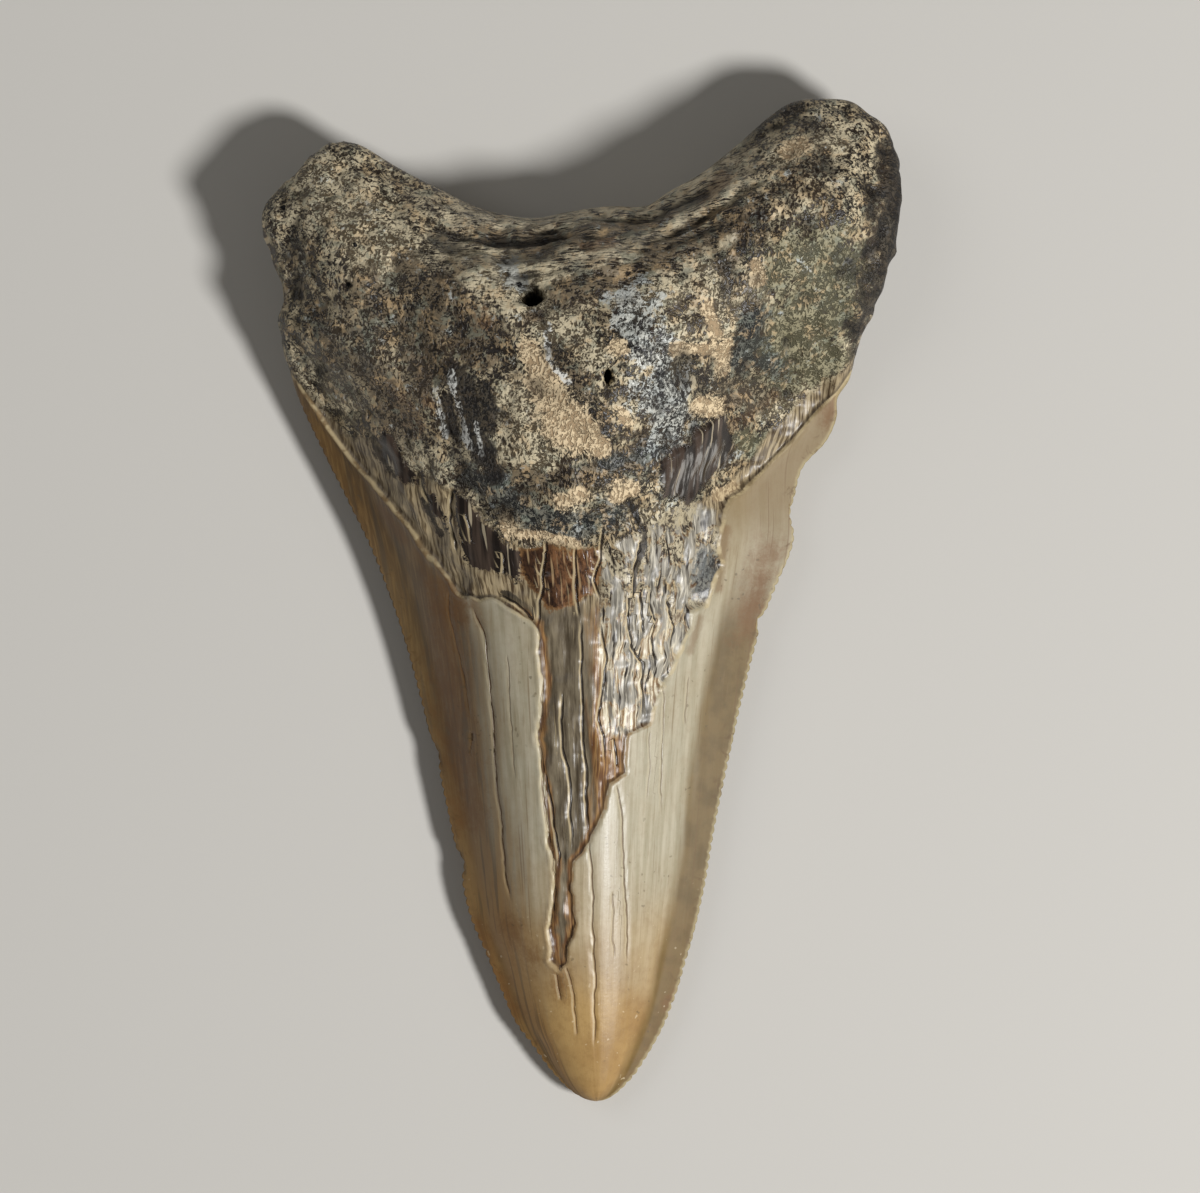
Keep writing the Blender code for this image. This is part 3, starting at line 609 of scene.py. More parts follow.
def inside_hole(x, y, place):
    """1 at an oval hole's middle, 0 at its rim and negative outside."""
    cx, cy, half_width, half_length, _ = place
    return 1.0 - np.hypot((x - cx) / half_width, (y - cy) / half_length)


def hole(x, y, place):
    """Depth of a hole with a steep wall and a slightly rounded mouth."""
    inside = inside_hole(x, y, place)
    return place[-1] * ease(-0.12, 0.38, inside) + 0.12 * place[2] * ease(-0.7, 0.0, inside)


def finish_places(points, reach, lingual, upper):
    """Millimetres inside each place with a finish of its own, with ragged edges."""
    x, y, _ = np.moveaxis(points, -1, 0)
    ragged = pattern(layered_noise, points, OUTLINE_WANDER)
    edges = (LINGUAL_ENAMEL_EDGE, LABIAL_ENAMEL_EDGE)
    enamel = np.where(lingual, *(depth_inside(x, y, edge + BELOW_THE_TIP) for edge in edges))
    places = {"enamel": enamel + ragged * ease(0.9, 0.75, reach)}
    for name, outlines in PATCHES.items():
        nearest = np.max([depth_inside(x, y, corners) for corners in outlines], axis=0)
        places[name] = np.where(upper > 0, nearest, FAR_OUTSIDE) + ragged
    places["neck"] = depth_inside(x, y, NECK) + ragged
    return places


def surface_relief(points, across, down, upper, basal, sideways, places):
    """Lumps, pits, waves, fibres and splinters, each kept to its own place."""
    _, y, z = np.moveaxis(points, -1, 0)
    lengthways = np.stack([sideways, y, z], -1) * FIBRE_SHARES
    crossways = np.stack([WAVE_ACROSS * across, WAVE_DOWN * down, 0 * y], -1)
    root = ease(0.3, -0.6, places["enamel"])
    neck = ease(-0.4, 0.8, places["neck"]) * root * upper
    strip = ease(STRIP_TOP, STRIP_TOP - 1.0, y) * root * upper
    wear_and_sheen = ease(-0.2, 0.3, np.maximum(places["glaze"], places["rust"]))
    rough = ease(-0.3, 0.5, places["splinters"]) * root

    pits = pattern(dents, points, *PITS) * (1 - 0.7 * neck)
    fibres = pattern(ridges, lengthways, NECK_FIBRES) * ease(0.14, 0.26, down)
    bumps = root * (pattern(layered_noise, points, *LUMPS) - pits + fibres) * (1 - 0.8 * wear_and_sheen)
    bumps = bumps + root * pattern(ridges, crossways, BASAL_WAVES) * basal
    bumps = bumps + rough * pattern(ridges, lengthways, *SPLINTER_RIDGES)
    bumps = bumps + wear_and_sheen * pattern(ridges, lengthways, WORN_FIBRES)
    bumps = bumps + strip * pattern(ridges, lengthways, STRIP_FIBRES) * (1 - rough)
    return bumps + (1 - root) * pattern(layered_noise, lengthways, (*ENAMEL_SWELL, 2))


def tooth_fields():
    """The tooth's points in millimetres, its grain coordinates, and the fields its finish reads.

    The relief moves each point of the overall shape along the surface's own normal by a sum of patterns,
    cracks, holes, nodules and the enamel's ledge and lip, each kept to its own place.
    """
    points, across, down, lingual = smooth_tooth()
    x, y, z = np.moveaxis(points, -1, 0)
    u = 2 * across - 1
    reach = np.abs(u)
    half_width = 0.5 * (along(RIGHT_CURVE, down) - along(LEFT_CURVE, down))[..., 0]
    off_rim = ease(0.0, RIM_FADE, 1 - reach)
    upper = np.where(lingual, off_rim, 0.0)
    basal = ease(0.17, 0.05, down) * ease(0.70, 0.30, np.abs(2 * across - 0.98))
    places = finish_places(points, reach, lingual, upper)
    enamel = places["enamel"]

    sideways = SIDEWAYS_PLACE * x + SIDEWAYS_SHARE * u
    bumps = surface_relief(points, across, down, upper, basal, sideways, places)
    wander = pattern(layered_noise, points, CRACK_WANDER)
    crack_depth, crack_near, crack_right = grooves(x, y, ENAMEL_CRACKS, wander)
    split_depth, split_near, split_right = grooves(x, y, NECK_CRACKS, wander)
    furrow_depth, furrow_near, _ = grooves(x, y, ROOT_FURROWS, 3 * wander)
    bumps = bumps - upper * (crack_depth + split_depth + furrow_depth)

    strip_right = ease(STRIP_RIGHT_FROM, STRIP_RIGHT_TO, y) * ease(-2.2, -1.2, x)
    lip = LIP_HEIGHT * np.exp(-(((enamel - LIP_INSIDE) / LIP_HALF_WIDTH) ** 2)) * upper * (1 - strip_right)
    glaze_step = GLAZE_THICKNESS * ease(-GLAZE_SLOPE, GLAZE_SLOPE, places["glaze"])
    ledge = ENAMEL_THICKNESS * ease(ENAMEL_SLOPE, -ENAMEL_SLOPE, enamel) * off_rim
    relief = bumps + lip + glaze_step - ledge
    for place in HOLES:
        relief = relief - upper * hole(x, y, place)
    for place in NODULES:
        relief = relief + upper * mound(x, y, place)
    relief = relief * ease(0.0, BASAL_FADE, down) * ease(1.0, TIP_FADE, down)
    raised = points + outward_normals(points) * relief[..., None]
    raised[..., 2] = np.maximum(raised[..., 2], 0.0)

    down_the_back = ease(0.12, 0.03, down) * (BACK_HEIGHT - z)
    grain = np.stack([sideways, y + down_the_back], -1)
    stroke_share = np.where(lingual, 1.0, ease(0.7, 0.95, reach))
    in_hole = np.max([inside_hole(x, y, place) for place in HOLES], axis=0)
    fields = {
        **places,
        "neck": np.where(lingual, places["neck"], FAR_OUTSIDE),
        "crack": crack_near * upper,
        "crack_right": crack_right,
        "split": split_near * upper,
        "split_right": split_right,
        "furrow": furrow_near * upper,
        "basal": basal,
        "bumps": bumps,
        "across": u,
        "band": (reach - np.where(across < 0.5, LEFT_BAND, RIGHT_BAND)) * half_width,
        "edge": (1 - reach) * half_width,
        "strip_right": strip_right,
        "hole": np.where(upper > 0, in_hole, -1.0),
        **{name: (inside_strokes(x, y, strokes) + 1) * stroke_share - 1 for name, strokes in STAINS_AND_PAINTED_LIGHT.items()},
    }
    return raised, grain, fields


def tooth_net(points):
    """Vertices and faces of the net, closed at the tip by a fan and at the basal edge by sharing vertices.

    The basal row has the lingual face's vertices alone. Each labial face there takes in two of its steps.
    """
    ring = points.shape[1]
    turn = LINGUAL_COLUMNS
    basal = points[0, : turn + 1].copy()
    body = points[1:]
    tip = body[-1].mean(axis=0)
    tip[1] = LEFT_EDGE[-1][1]
    vertices = np.vstack([basal, body.reshape(-1, 3), tip])
    number = turn + 1 + np.arange(len(body) * ring).reshape(len(body), ring)
    beside = np.roll(number, -1, axis=1)
    quads = np.stack([number[:-1], number[1:], beside[1:], beside[:-1]], -1).reshape(-1, 4)
    over = np.arange(turn)
    first = np.stack([over, number[0, over], beside[0, over], over + 1], -1)
    under = np.arange(turn, ring)
    far = turn - 2 * (under - turn)
    fives = np.stack([far, number[0, under], beside[0, under], far - 2, far - 1], -1)
    fan = np.stack([number[-1], np.full(ring, len(vertices) - 1), beside[-1]], -1)
    return vertices, [*quads.tolist(), *first.tolist(), *fives.tolist(), *fan.tolist()]


def per_vertex(values):
    """A field of the net, in the order of tooth_net's vertices."""
    first = values[0, : LINGUAL_COLUMNS + 1]
    return np.concatenate([first, values[1:].reshape(-1), values[-1:, :1].reshape(-1)])


def tooth_mesh():
    """The mesh, with its fields as point attributes and its grain coordinates as a UV map."""
    points, grain, fields = tooth_fields()
    vertices, faces = tooth_net(points)
    mesh = bpy.data.meshes.new("fossil_tooth")
    mesh.from_pydata((vertices * MM).tolist(), [], faces)
    for name, values in fields.items():
        attribute = mesh.attributes.new(name, "FLOAT", "POINT")
        attribute.data.foreach_set("value", per_vertex(values).astype(np.float32))
    corner = np.empty(len(mesh.loops), np.int32)
    mesh.loops.foreach_get("vertex_index", corner)
    grain_uv = np.stack([per_vertex(grain[..., 0]), per_vertex(grain[..., 1])], -1)[corner]
    mesh.uv_layers.new(name="grain").data.foreach_set("uv", grain_uv.astype(np.float32).ravel())
    mesh.shade_smooth()
    mesh.validate()
    return mesh


# ---- Finish ----


def linear(hex_colour):
    """Blender's linear colour for a screen colour written as #rrggbb."""
    screen = [int(hex_colour[k : k + 2], 16) / 255 for k in (1, 3, 5)]
    return [c / 12.92 if c <= 0.04045 else ((c + 0.055) / 1.055) ** 2.4 for c in screen] + [1.0]


class Finish:
    """A material and its nodes. Most methods add a node or a few and return what comes out of them."""

    def __init__(self, name):
        self.material = bpy.data.materials.new(name)
        self.material.use_nodes = True
        self.tree = self.material.node_tree
        self.shader = self.tree.nodes["Principled BSDF"]

    def add(self, kind, inputs=(), **settings):
        """A new node of this kind. Each of its inputs takes a value or another node's output."""
        node = self.tree.nodes.new("ShaderNode" + kind)
        for key, value in settings.items():
            setattr(node, key, value)
        for key, value in dict(inputs).items():
            self.put(node.inputs[key], value)
        return node

    def put(self, socket, value):
        """Gives an input a node's output, a number, or a screen colour written as #rrggbb."""
        if isinstance(value, bpy.types.NodeSocket):
            self.tree.links.new(value, socket)
        else:
            socket.default_value = linear(value) if isinstance(value, str) else value

    def field(self, name):
        return self.add("Attribute", attribute_name=name).outputs["Fac"]

    def math(self, operation, a, b=0.0):
        return self.add("Math", {0: a, 1: b}, operation=operation).outputs[0]

    def plus(self, a, b):
        return self.math("ADD", a, b)

    def times(self, a, b):
        return self.math("MULTIPLY", a, b)

    def ease(self, value, low, high):
        """0 at low and 1 at high, eased."""
        inputs = {"Value": value, "From Min": low, "From Max": high}
        return self.add("MapRange", inputs, interpolation_type="SMOOTHSTEP").outputs["Result"]

    def mix(self, share, a, b):
        """Colour a where share is 0 and b where it is 1."""
        return self.add("Mix", {0: share, 6: a, 7: b}, data_type="RGBA").outputs[2]

    def blend(self, share, a, b):
        """Number a where share is 0 and b where it is 1."""
        return self.add("Mix", {0: share, 2: a, 3: b}, data_type="FLOAT").outputs[0]

    def layers(self, colour, *layers):
        """The colour with others laid over it in turn: share, strength and colour of each."""
        for share, strength, upper in layers:
            colour = self.mix(self.times(share, strength), colour, upper)
        return colour


class FossilFinish(Finish):
    """The tooth's material, with the patterns that its finishes share. Sizes are in millimetres."""

    def __init__(self):
        super().__init__("fossil_tooth")
        place = self.add("TexCoord").outputs["Object"]
        self.place = self.add("VectorMath", {0: place, "Scale": 1.0 / MM}, operation="SCALE").outputs[0]
        self.down_tooth = self.add("SeparateXYZ", {0: self.place}).outputs["Y"]
        self.streak = self.fibres(0.55, 9.0, 3.0)
        self.fine_streak = self.fibres(0.2, 3.0, 2.0)
        self.grain = self.grains()
        wander = self.times(self.math("SUBTRACT", self.patchy(1.8, 5.0, 0.7), 0.5), 3.2)
        self.ragged = self.plus(wander, self.times(self.math("SUBTRACT", self.grain, 0.5), 0.35))
        self.small_ragged = self.times(self.ragged, 0.35)

    def noise(self, place, size, detail, roughness, distortion):
        inputs = {"Vector": place, "Scale": 1.0 / size, "Detail": detail}
        inputs |= {"Roughness": roughness, "Distortion": distortion}
        return self.add("TexNoise", inputs).outputs["Fac"]

    def patchy(self, size, detail=2.0, roughness=0.5, distortion=0.0):
        """Noise that is alike in every direction."""
        return self.noise(self.place, size, detail, roughness, distortion)

    def fibres(self, across, lengthways, detail=2.0, roughness=0.5, distortion=0.0):
        """Noise drawn out along the tooth's grain, of these sizes across and along it."""
        uv = self.add("UVMap", uv_map="grain").outputs["UV"]
        scale = (1.0 / across, 1.0 / lengthways, 1.0)
        place = self.add("Mapping", {"Vector": uv, "Scale": scale}, vector_type="POINT").outputs[0]
        return self.noise(place, 1.0, detail, roughness, distortion)

    def mottle(self, step):
        """Ragged patches. Each step moves the pattern along, so that it falls differently."""
        move = {0: self.place, 1: (step, 0.7 * step, 0.0)}
        place = self.add("VectorMath", move, operation="ADD").outputs[0]
        return self.ease(self.noise(place, 1.5, 3.0, 0.6, 0.3), 0.52, 0.62)

    def grains(self):
        """The root's grains, 0 in the gaps to 1 on top: drawn out along its basal edge and its neck."""
        any_way = self.patchy(0.33, 2.0, 0.6, 0.9)
        lengthways = self.fibres(0.24, 0.50, 2.0, 0.6, 0.6)
        along_edge = self.plus(self.fibres(0.75, 0.25, 2.0, 0.6, 0.5), 0.05)
        level = self.blend(self.ease(self.patchy(3.0), 0.45, 0.6), any_way, lengthways)
        level = self.blend(self.times(self.field("basal"), 0.85), level, along_edge)
        return self.ease(self.plus(level, self.times(self.patchy(1.3, 3.0), 0.45)), 0.63, 0.80)

    def stroke_share(self, name, low=-0.15, high=0.35, raggedness=1.0):
        """Share of a stroke's mark (stains, painted sheen and painted shade alike), with a ragged outline.
        """
        return self.ease(self.plus(self.field(name), self.times(self.ragged, raggedness)), low, high)

    def line(self, crack, half_width, left=0.0):
        """1 on a line this far to the left of a crack, 0 beyond its half-width, and only by the crack."""
        away = self.math("ABSOLUTE", self.plus(self.field(crack + "_right"), left))
        return self.times(self.ease(away, half_width, 0.3 * half_width), self.field(crack))


FINE_RELIEF = 0.16  # millimetres of bump at full height
ROOT_STAINS = [  # name, colour of the gaps, colour of the grains, strength, raggedness
    ("pale", "#5c503c", "#d2c5a6", 0.85, 1.0),
    ("dark", "#17100b", "#63533d", 0.85, 1.0),
    ("green", "#56533c", "#8f8a6d", 0.80, 1.0),
    ("slate", "#1d2122", "#565b58", 0.80, 1.25),
    ("rusty", "#46301d", "#7d5c3c", 0.60, 1.0),
    ("clay", "#3b3328", "#6f6350", 0.70, 1.0),
]
ROOT_MARKS = [  # as the stains, but over the mottling
    # The first row paints the silvery sheen on the root's boss; its gloss is in the roughness.
    ("painted_sheen", "#212122", "#b9bebb", 0.75, 1.9),
    ("tan", "#ab9270", "#e0c9a3", 0.95, 0.9),
    # The black row also paints shade down the root's right side.
    ("black_and_painted_shade", "#0c0906", "#251c13", 0.92, 0.9),
    ("white", "#45423c", "#e2e2dc", 0.88, 1.0),
]
NECK_STAINS = [
    ("black_and_painted_shade", "#120c08", "#2b2119", 0.90, 1.0),
    ("pale", "#4a4032", "#b3a687", 0.75, 1.0),
    ("dark", "#1b140e", "#4c3e2e", 0.70, 1.0),
    ("slate", "#25282a", "#686b69", 0.85, 1.0),
    ("tan", "#8f785a", "#cfb992", 0.85, 0.8),
    ("rusty", "#46301d", "#7d5c3c", 0.60, 1.0),
]


def strokes_over_both(f, stains, gaps, tops):
    """The colours of gaps and grains, with these stains and painted marks over them."""
    for name, gap, top, strength, raggedness in stains:
        share = f.times(f.stroke_share(name, raggedness=raggedness), strength)
        gaps, tops = f.mix(share, gaps, gap), f.mix(share, tops, top)
    return gaps, tops


def root_colour(f):
    """Pale grains with dark gaps, mottled and stained, and painted shade in the hollows."""
    gaps = f.mix(f.ease(f.patchy(6.0, 3.0), 0.35, 0.65), "#1b140d", "#3a2e21")
    tops = f.mix(f.ease(f.patchy(2.6, 2.0), 0.35, 0.65), "#9e8d6e", "#d4c5a4")
    tops = f.layers(tops, (f.mottle(57.0), 0.5, "#1e160f"), (f.field("basal"), 0.65, "#dccfb2"))
    gaps, tops = strokes_over_both(f, ROOT_STAINS, gaps, tops)
    tops = f.layers(tops, (f.mottle(0.0), 0.45, "#cdae82"), (f.mottle(31.0), 0.45, "#7f887a"))
    gaps, tops = strokes_over_both(f, ROOT_MARKS, gaps, tops)
    # painted shade: the relief's hollows are darkened
    hollows = f.ease(f.field("bumps"), -0.10, -0.45)
    return f.layers(f.mix(f.grain, gaps, tops), (hollows, 0.8, "#150e08"))


def flank_brown(f):
    """The left flank: more golden towards the tip, with pale and dark streaks."""
    brown = f.mix(f.ease(f.down_tooth, 8.0, -10.0), "#56390c", "#664310")
    return f.layers(
        f.mix(f.ease(f.down_tooth, -12.0, -30.0), brown, "#8f6937"),
        (f.ease(f.fine_streak, 0.42, 0.64), 0.40, "#94723c"),
        (f.ease(f.streak, 0.50, 0.62), 0.65, "#2e1c06"),
    )


def sound_enamel_colour(f):
    """Grey-beige, brown on the left flank, olive beside each edge, golden at the tip."""
    down_tooth, across, by_edge = f.down_tooth, f.field("across"), f.field("edge")
    cloud = f.ease(f.patchy(7.0, 3.0), 0.35, 0.7)
    tip = f.ease(f.plus(down_tooth, f.times(f.patchy(9.0), 18.0)), -10.0, -32.0)
    off_tip = f.ease(down_tooth, -40.0, -28.0)
    right = f.ease(across, -0.1, 0.1)
    wander = f.fibres(2.0, 14.0)
    flank = f.ease(f.plus(across, f.times(wander, 0.5)), -0.08, -0.50)
    onto_tip = f.times(f.ease(down_tooth, -20.0, -40.0), 0.6)
    band = f.ease(f.plus(f.plus(f.field("band"), onto_tip), f.times(wander, 1.2)), -0.2, 1.3)
    band = f.times(band, f.ease(down_tooth, 6.0, -4.0))
    olive = f.mix(f.ease(f.patchy(2.4, 3.0, 0.6), 0.35, 0.65), "#5e4814", "#70592a")
    specks = f.times(f.ease(f.patchy(0.45, 0.0), 0.74, 0.80), f.ease(f.patchy(7.0), 0.52, 0.62))
    flaws = f.times(f.ease(f.patchy(1.3, 4.0, 0.65, 0.6), 0.56, 0.66), f.ease(by_edge, 1.9, 0.2))
    hairs = f.times(f.ease(f.fibres(0.28, 16.0, 1.0), 0.66, 0.74), off_tip)

    colour = f.mix(f.ease(f.streak, 0.3, 0.7), "#aaa38c", "#c0b8a2")
    colour = f.layers(colour, (cloud, 0.25, "#a08c66"))
    colour = f.mix(tip, colour, f.mix(cloud, "#b5945f", "#a07d4b"))
    return f.layers(
        colour,
        (f.ease(down_tooth, -1.0, 11.0), 0.8, "#846c43"),
        (flank, 0.85, flank_brown(f)),
        (band, f.blend(right, 0.35, 0.92), olive),
        (f.stroke_share("brown", -0.6, 1.4), 0.65, "#734a1c"),
        (f.stroke_share("amber", -0.5, 0.9, 0.6), 0.45, "#6c4516"),
        (f.ease(by_edge, 0.42, 0.05), f.blend(right, 0.3, 0.6), f.mix(right, "#8f7046", "#bcae84")),
        (specks, 0.50, "#4f4631"),
        (f.ease(f.patchy(0.8, 4.0, 0.7), 0.42, 0.66), f.blend(tip, 0.10, 0.24), "#7c5a30"),
        (flaws, 0.55, "#5c4019"),
        (f.ease(f.patchy(0.42, 0.0), 0.79, 0.84), f.blend(tip, 0.0, 0.4), "#ead9b8"),
        (hairs, 0.45, "#6f5433"),
        (f.ease(f.fine_streak, 0.54, 0.8), f.blend(off_tip, 0.10, 0.40), "#7b6544"),
    )


def enamel_colour(f, crack):
    """Enamel with dark cracks, a painted highlight along their lips, and a pale broken edge."""
    broken = f.blend(f.ease(f.patchy(1.4, 3.0, 0.6), 0.42, 0.58), 0.15, 0.65)
    rim = f.mix(f.field("strip_right"), "#cbb991", "#96703f")
    # painted highlight: a pale line beside each crack, fading out towards the crown's left edge
    painted_lip_highlight = f.times(f.line("crack", 0.11, 0.17), f.ease(f.field("across"), -0.75, -0.45))
    return f.layers(
        sound_enamel_colour(f),
        (painted_lip_highlight, 0.45, "#d3c5a2"),
        (crack, 0.80, "#5e3d1c"),
        (f.ease(f.field("enamel"), 0.30, 0.1), broken, rim),
    )


def strip_colour(f):
    """Bare dentine under lost enamel: grey, and brown on its right and by the enamel."""
    grey = f.mix(f.ease(f.fibres(1.1, 8.0, 5.0, 0.65), 0.35, 0.65), "#4f4434", "#8c806a")
    brown = f.mix(f.ease(f.fine_streak, 0.35, 0.65), "#643c1c", "#ad8350")
    right = f.ease(f.plus(f.field("across"), f.times(f.fibres(0.8, 5.0), 0.22)), 0.10, 0.19)
    by_enamel = f.ease(f.plus(f.field("enamel"), f.fibres(0.8, 3.0)), -0.35, 0.15)
    return f.layers(grey, (f.math("MAXIMUM", right, by_enamel), 0.85, brown))


def splinter_colour(f):
    """Grey plates with pale fibres, partly painted glints, grained crust above and cream splinters below,
    and dark clefts.
    """
    plates = f.fibres(1.7, 3.4, 3.0, 0.6, 0.4)
    fibres = f.fibres(0.24, 3.0, 3.0, 0.6)
    grey = f.mix(f.ease(f.streak, 0.35, 0.65), "#5f5a51", "#a8a295")
    # pale fibres on the plates, partly painted glints
    grey = f.layers(grey, (f.ease(fibres, 0.48, 0.66), 0.8, "#dad2bf"))
    crust = f.mix(f.grain, "#3a3025", "#bcb094")
    cream = f.mix(f.ease(fibres, 0.38, 0.60), "#84694a", "#eee4ca")
    lower = f.ease(f.plus(f.down_tooth, f.times(f.fibres(1.5, 3.0), 6.0)), 4.5, -1.0)
    colour = f.mix(f.ease(plates, 0.47, 0.55), f.mix(lower, crust, cream), grey)
    rims = f.ease(f.math("ABSOLUTE", f.math("SUBTRACT", plates, 0.48)), 0.020, 0.006)
    colour = f.layers(colour, (rims, 0.5, f.mix(f.ease(f.fine_streak, 0.45, 0.6), "#6f4a28", "#cbb184")))
    return f.mix(f.ease(f.fibres(0.33, 2.8, 2.0), 0.41, 0.34), colour, "#261d16")


def rust_colour(f, inside):
    """Red-brown dentine, darker on its left, with a lighter rim and pale threads."""
    return f.layers(
        f.mix(f.ease(f.fibres(0.5, 1.2, 5.0, 0.7), 0.36, 0.64), "#28170f", "#805a3c"),
        (f.ease(f.field("across"), -0.10, -0.17), 0.70, "#22130e"),
        (f.ease(inside, 0.5, 0.0), 0.45, "#a2784b"),
        (f.ease(f.fibres(0.40, 5.0, 1.0), 0.58, 0.65), 0.5, "#c9ab80"),
    )


def neck_colour(f):
    """Beige and brown streaks, the bare strip, splinters and red-brown dentine."""
    fibres = f.ease(f.fibres(0.2, 2.4, 2.0, 0.6), 0.42, 0.60)
    colour = f.layers(
        f.mix(f.ease(f.fibres(0.5, 3.0, 3.0, 0.6, 0.4), 0.36, 0.62), "#58462f", "#9c8968"),
        (f.ease(fibres, 0.4, 0.0), 0.55, "#35271a"),
        (fibres, 0.50, "#c6b594"),
    )
    colour = f.mix(f.ease(f.down_tooth, 0.4, -1.6), colour, strip_colour(f))
    colour = f.mix(f.ease(f.field("splinters"), -0.3, 0.4), colour, splinter_colour(f))
    inside = f.plus(f.field("rust"), f.times(f.small_ragged, 1.8))
    return f.mix(f.ease(inside, -0.2, 0.1), colour, rust_colour(f, inside))


def glaze_colour(f):
    """Dark bourlette with pale threads, and a painted silvery sheen in streaks."""
    wear_and_sheen = f.ease(f.fibres(0.45, 3.6, 4.0, 0.65, 0.3), 0.47, 0.60)
    return f.layers(
        f.mix(f.ease(f.streak, 0.4, 0.65), "#1b1410", "#4b3e35"),
        # painted sheen: silvery streaks over the glaze
        (f.times(f.stroke_share("painted_sheen", raggedness=0.5), wear_and_sheen), 0.55, "#aaa7a2"),
        (f.ease(f.fibres(0.40, 5.0, 1.0), 0.62, 0.69), 0.75, "#c0b297"),
    )


def bare_colour(f, neck, glaze, split):
    """All that the enamel doesn't cover: root, neck, glaze, splits and furrows, with painted shade under
    the enamel's edge.
    """
    above_strip = f.times(f.ease(f.down_tooth, -1.5, 1.0), neck)
    colour = f.mix(neck, root_colour(f), neck_colour(f))
    for name, gap, top, strength, raggedness in NECK_STAINS:
        share = f.times(f.stroke_share(name, raggedness=raggedness), above_strip)
        colour = f.layers(colour, (share, strength, f.mix(f.grain, gap, top)))
    # painted shade: darker just outside the enamel's edge, less by the splinters; laid on last
    shade = f.blend(f.ease(f.field("splinters"), -0.3, 0.4), 0.6, 0.15)
    return f.layers(
        f.mix(glaze, colour, glaze_colour(f)),
        (f.field("furrow"), 0.5, "#2a1f17"),
        (split, 0.9, "#22170e"),
        (f.line("split", 0.13, 0.22), 0.8, "#cbb891"),
        (f.ease(f.field("enamel"), -0.35, -0.08), shade, "#33271b"),
    )


def dullness(f, cap, neck, glaze):
    """Roughness: half-glossy enamel and grains, glossy glaze, rust and painted sheen, dull tan, green and
    black.
    """
    dull = f.blend(f.stroke_share("painted_sheen"), f.blend(f.grain, 0.36, 0.50), 0.30)
    dull = f.blend(neck, dull, 0.37)
    dull = f.blend(f.stroke_share("tan", raggedness=0.9), dull, 0.70)
    for name in ("green", "black_and_painted_shade"):
        dull = f.blend(f.stroke_share(name), dull, 0.60)
    dull = f.blend(f.math("MAXIMUM", glaze, f.ease(f.field("rust"), -0.2, 0.1)), dull, 0.25)
    polished = f.blend(f.ease(f.streak, 0.3, 0.7), 0.35, 0.46)
    return f.blend(cap, dull, f.blend(f.ease(f.field("band"), -0.9, 0.1), polished, 0.62))


def fine_height(f, cap, neck, glaze, crack, split):
    """Relief finer than the net: grains, fibres, a ripple in the enamel, cracks and splits."""
    both_streaks = f.plus(f.fine_streak, f.streak)
    height = f.plus(f.times(f.grain, 2.1), f.times(f.patchy(0.35, 3.0, 0.6), 1.3))
    height = f.blend(neck, height, f.times(both_streaks, 0.5))
    height = f.blend(glaze, height, f.times(f.streak, 0.5))
    ripple = f.plus(f.times(f.patchy(0.30, 2.0), 0.12), f.times(both_streaks, 0.12))
    height = f.blend(cap, height, ripple)
    bare = f.math("SUBTRACT", 1.0, cap)
    lines = f.math("MAXIMUM", f.times(crack, f.times(cap, 0.65)), f.times(split, bare))
    return f.math("SUBTRACT", f.times(height, 0.45), f.times(lines, 0.7))


def fossil_finish():
    """Enamel, bare dentine, bourlette and grained root, each kept to its place by a field."""
    f = FossilFinish()
    cap = f.ease(f.field("enamel"), -0.05, 0.05)
    neck = f.ease(f.plus(f.field("neck"), f.small_ragged), -0.3, 0.3)
    glaze = f.ease(f.plus(f.field("glaze"), f.times(f.ragged, 0.7)), -0.12, 0.12)
    crack, split = f.line("crack", 0.09), f.line("split", 0.13)
    colour = f.mix(cap, bare_colour(f, neck, glaze, split), enamel_colour(f, crack))
    # painted shade: the holes' insides are near-black
    colour = f.mix(f.ease(f.field("hole"), -0.05, 0.15), colour, "#080604")
    height = fine_height(f, cap, neck, glaze, crack, split)
    bump = f.add("Bump", {"Height": height, "Distance": FINE_RELIEF * MM, "Strength": 1.0})
    f.put(f.shader.inputs["Base Color"], colour)
    f.put(f.shader.inputs["Roughness"], dullness(f, cap, neck, glaze))
    f.put(f.shader.inputs["Normal"], bump.outputs["Normal"])
    return f.material


def put_in_scene(name, data):
    """A new object of this name, which shows this mesh, lamp or camera."""
    new = bpy.data.objects.new(name, data)
    bpy.context.scene.collection.objects.link(new)
    return new


def make_tooth():
    tooth = put_in_scene("fossil_tooth", tooth_mesh())
    tooth.data.materials.append(fossil_finish())
    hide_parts("tooth")
    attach(tooth, "root")


# ---- Floor, lights and camera ----

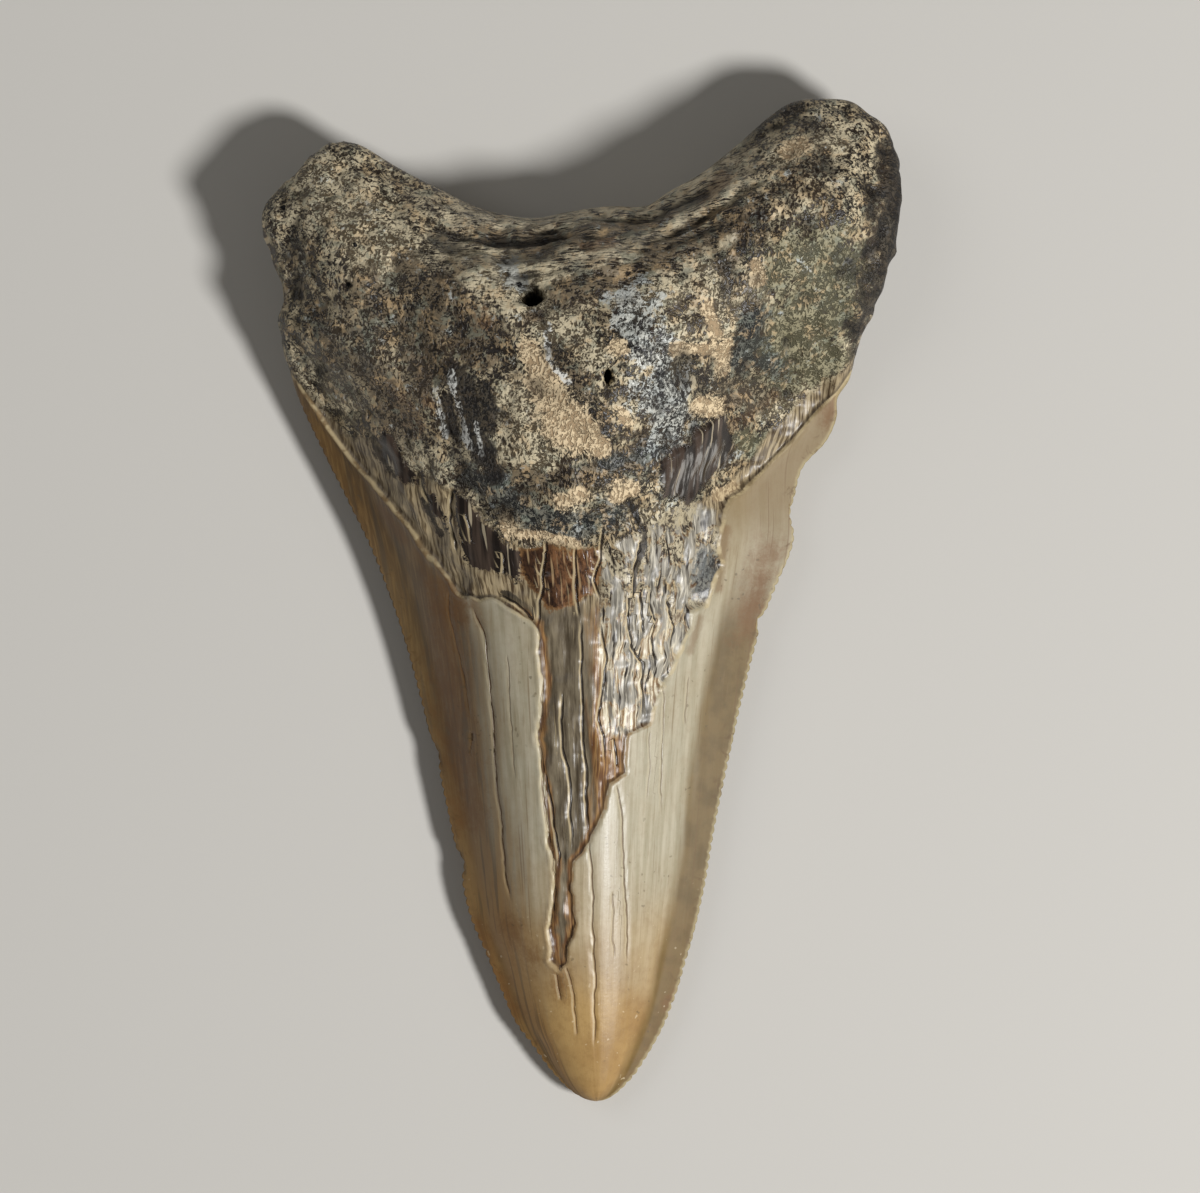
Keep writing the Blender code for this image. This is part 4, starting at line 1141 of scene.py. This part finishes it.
VIEW_CENTRE = (1.62, 0.42)  # middle of the picture, in design millimetres
VIEW_WIDTH = 111.0  # the picture's width at the height of the tooth's edge
EDGE_HEIGHT = 5.0  # of that edge, above the floor
LENS, SENSOR = 250.0, 36.0
FLOOR_HALF = 0.6  # metres
LAMPS = {  # place, width in metres and watts
    "key": ((0.48, -0.24, 0.60), 0.16, 6.4),
    "fill": ((-0.5, 0.3, 0.7), 0.6, 0.8),
}
SKY_STRENGTH = 0.13


def make_floor():
    """A plain pale square under the tooth."""
    h = FLOOR_HALF
    mesh = bpy.data.meshes.new("floor")
    mesh.from_pydata([(-h, -h, 0), (h, -h, 0), (h, h, 0), (-h, h, 0)], [], [(0, 1, 2, 3)])
    finish = Finish("pale_floor")
    finish.put(finish.shader.inputs["Base Color"], "#cfccc6")
    finish.put(finish.shader.inputs["Roughness"], 0.8)
    mesh.materials.append(finish.material)
    put_in_scene("floor", mesh)


def make_lights():
    """Round lamps that shine at the origin, and a faint even light from all round."""
    for name, (place, width, watts) in LAMPS.items():
        lamp = bpy.data.lights.new(name, "AREA")
        lamp.shape, lamp.size, lamp.energy = "DISK", width, watts
        light = put_in_scene(name, lamp)
        light.location = place
        light.rotation_euler = (-Vector(place)).to_track_quat("-Z", "Y").to_euler()
    world = bpy.data.worlds.new("studio")
    world.use_nodes = True
    background = world.node_tree.nodes["Background"]
    background.inputs["Color"].default_value = linear("#efece6")
    background.inputs["Strength"].default_value = SKY_STRENGTH
    bpy.context.scene.world = world


def make_camera():
    """A camera that looks straight down from far off."""
    lens = bpy.data.cameras.new("camera")
    lens.lens, lens.sensor_width = LENS, SENSOR
    lens.clip_start, lens.clip_end = 0.01, 10.0
    camera = put_in_scene("camera", lens)
    distance = VIEW_WIDTH * LENS / SENSOR + EDGE_HEIGHT
    camera.location = (VIEW_CENTRE[0] * MM, VIEW_CENTRE[1] * MM, distance * MM)
    bpy.context.scene.camera = camera


make_tooth()
make_floor()
make_lights()
make_camera()
bpy.context.scene.view_settings.view_transform = "Standard"
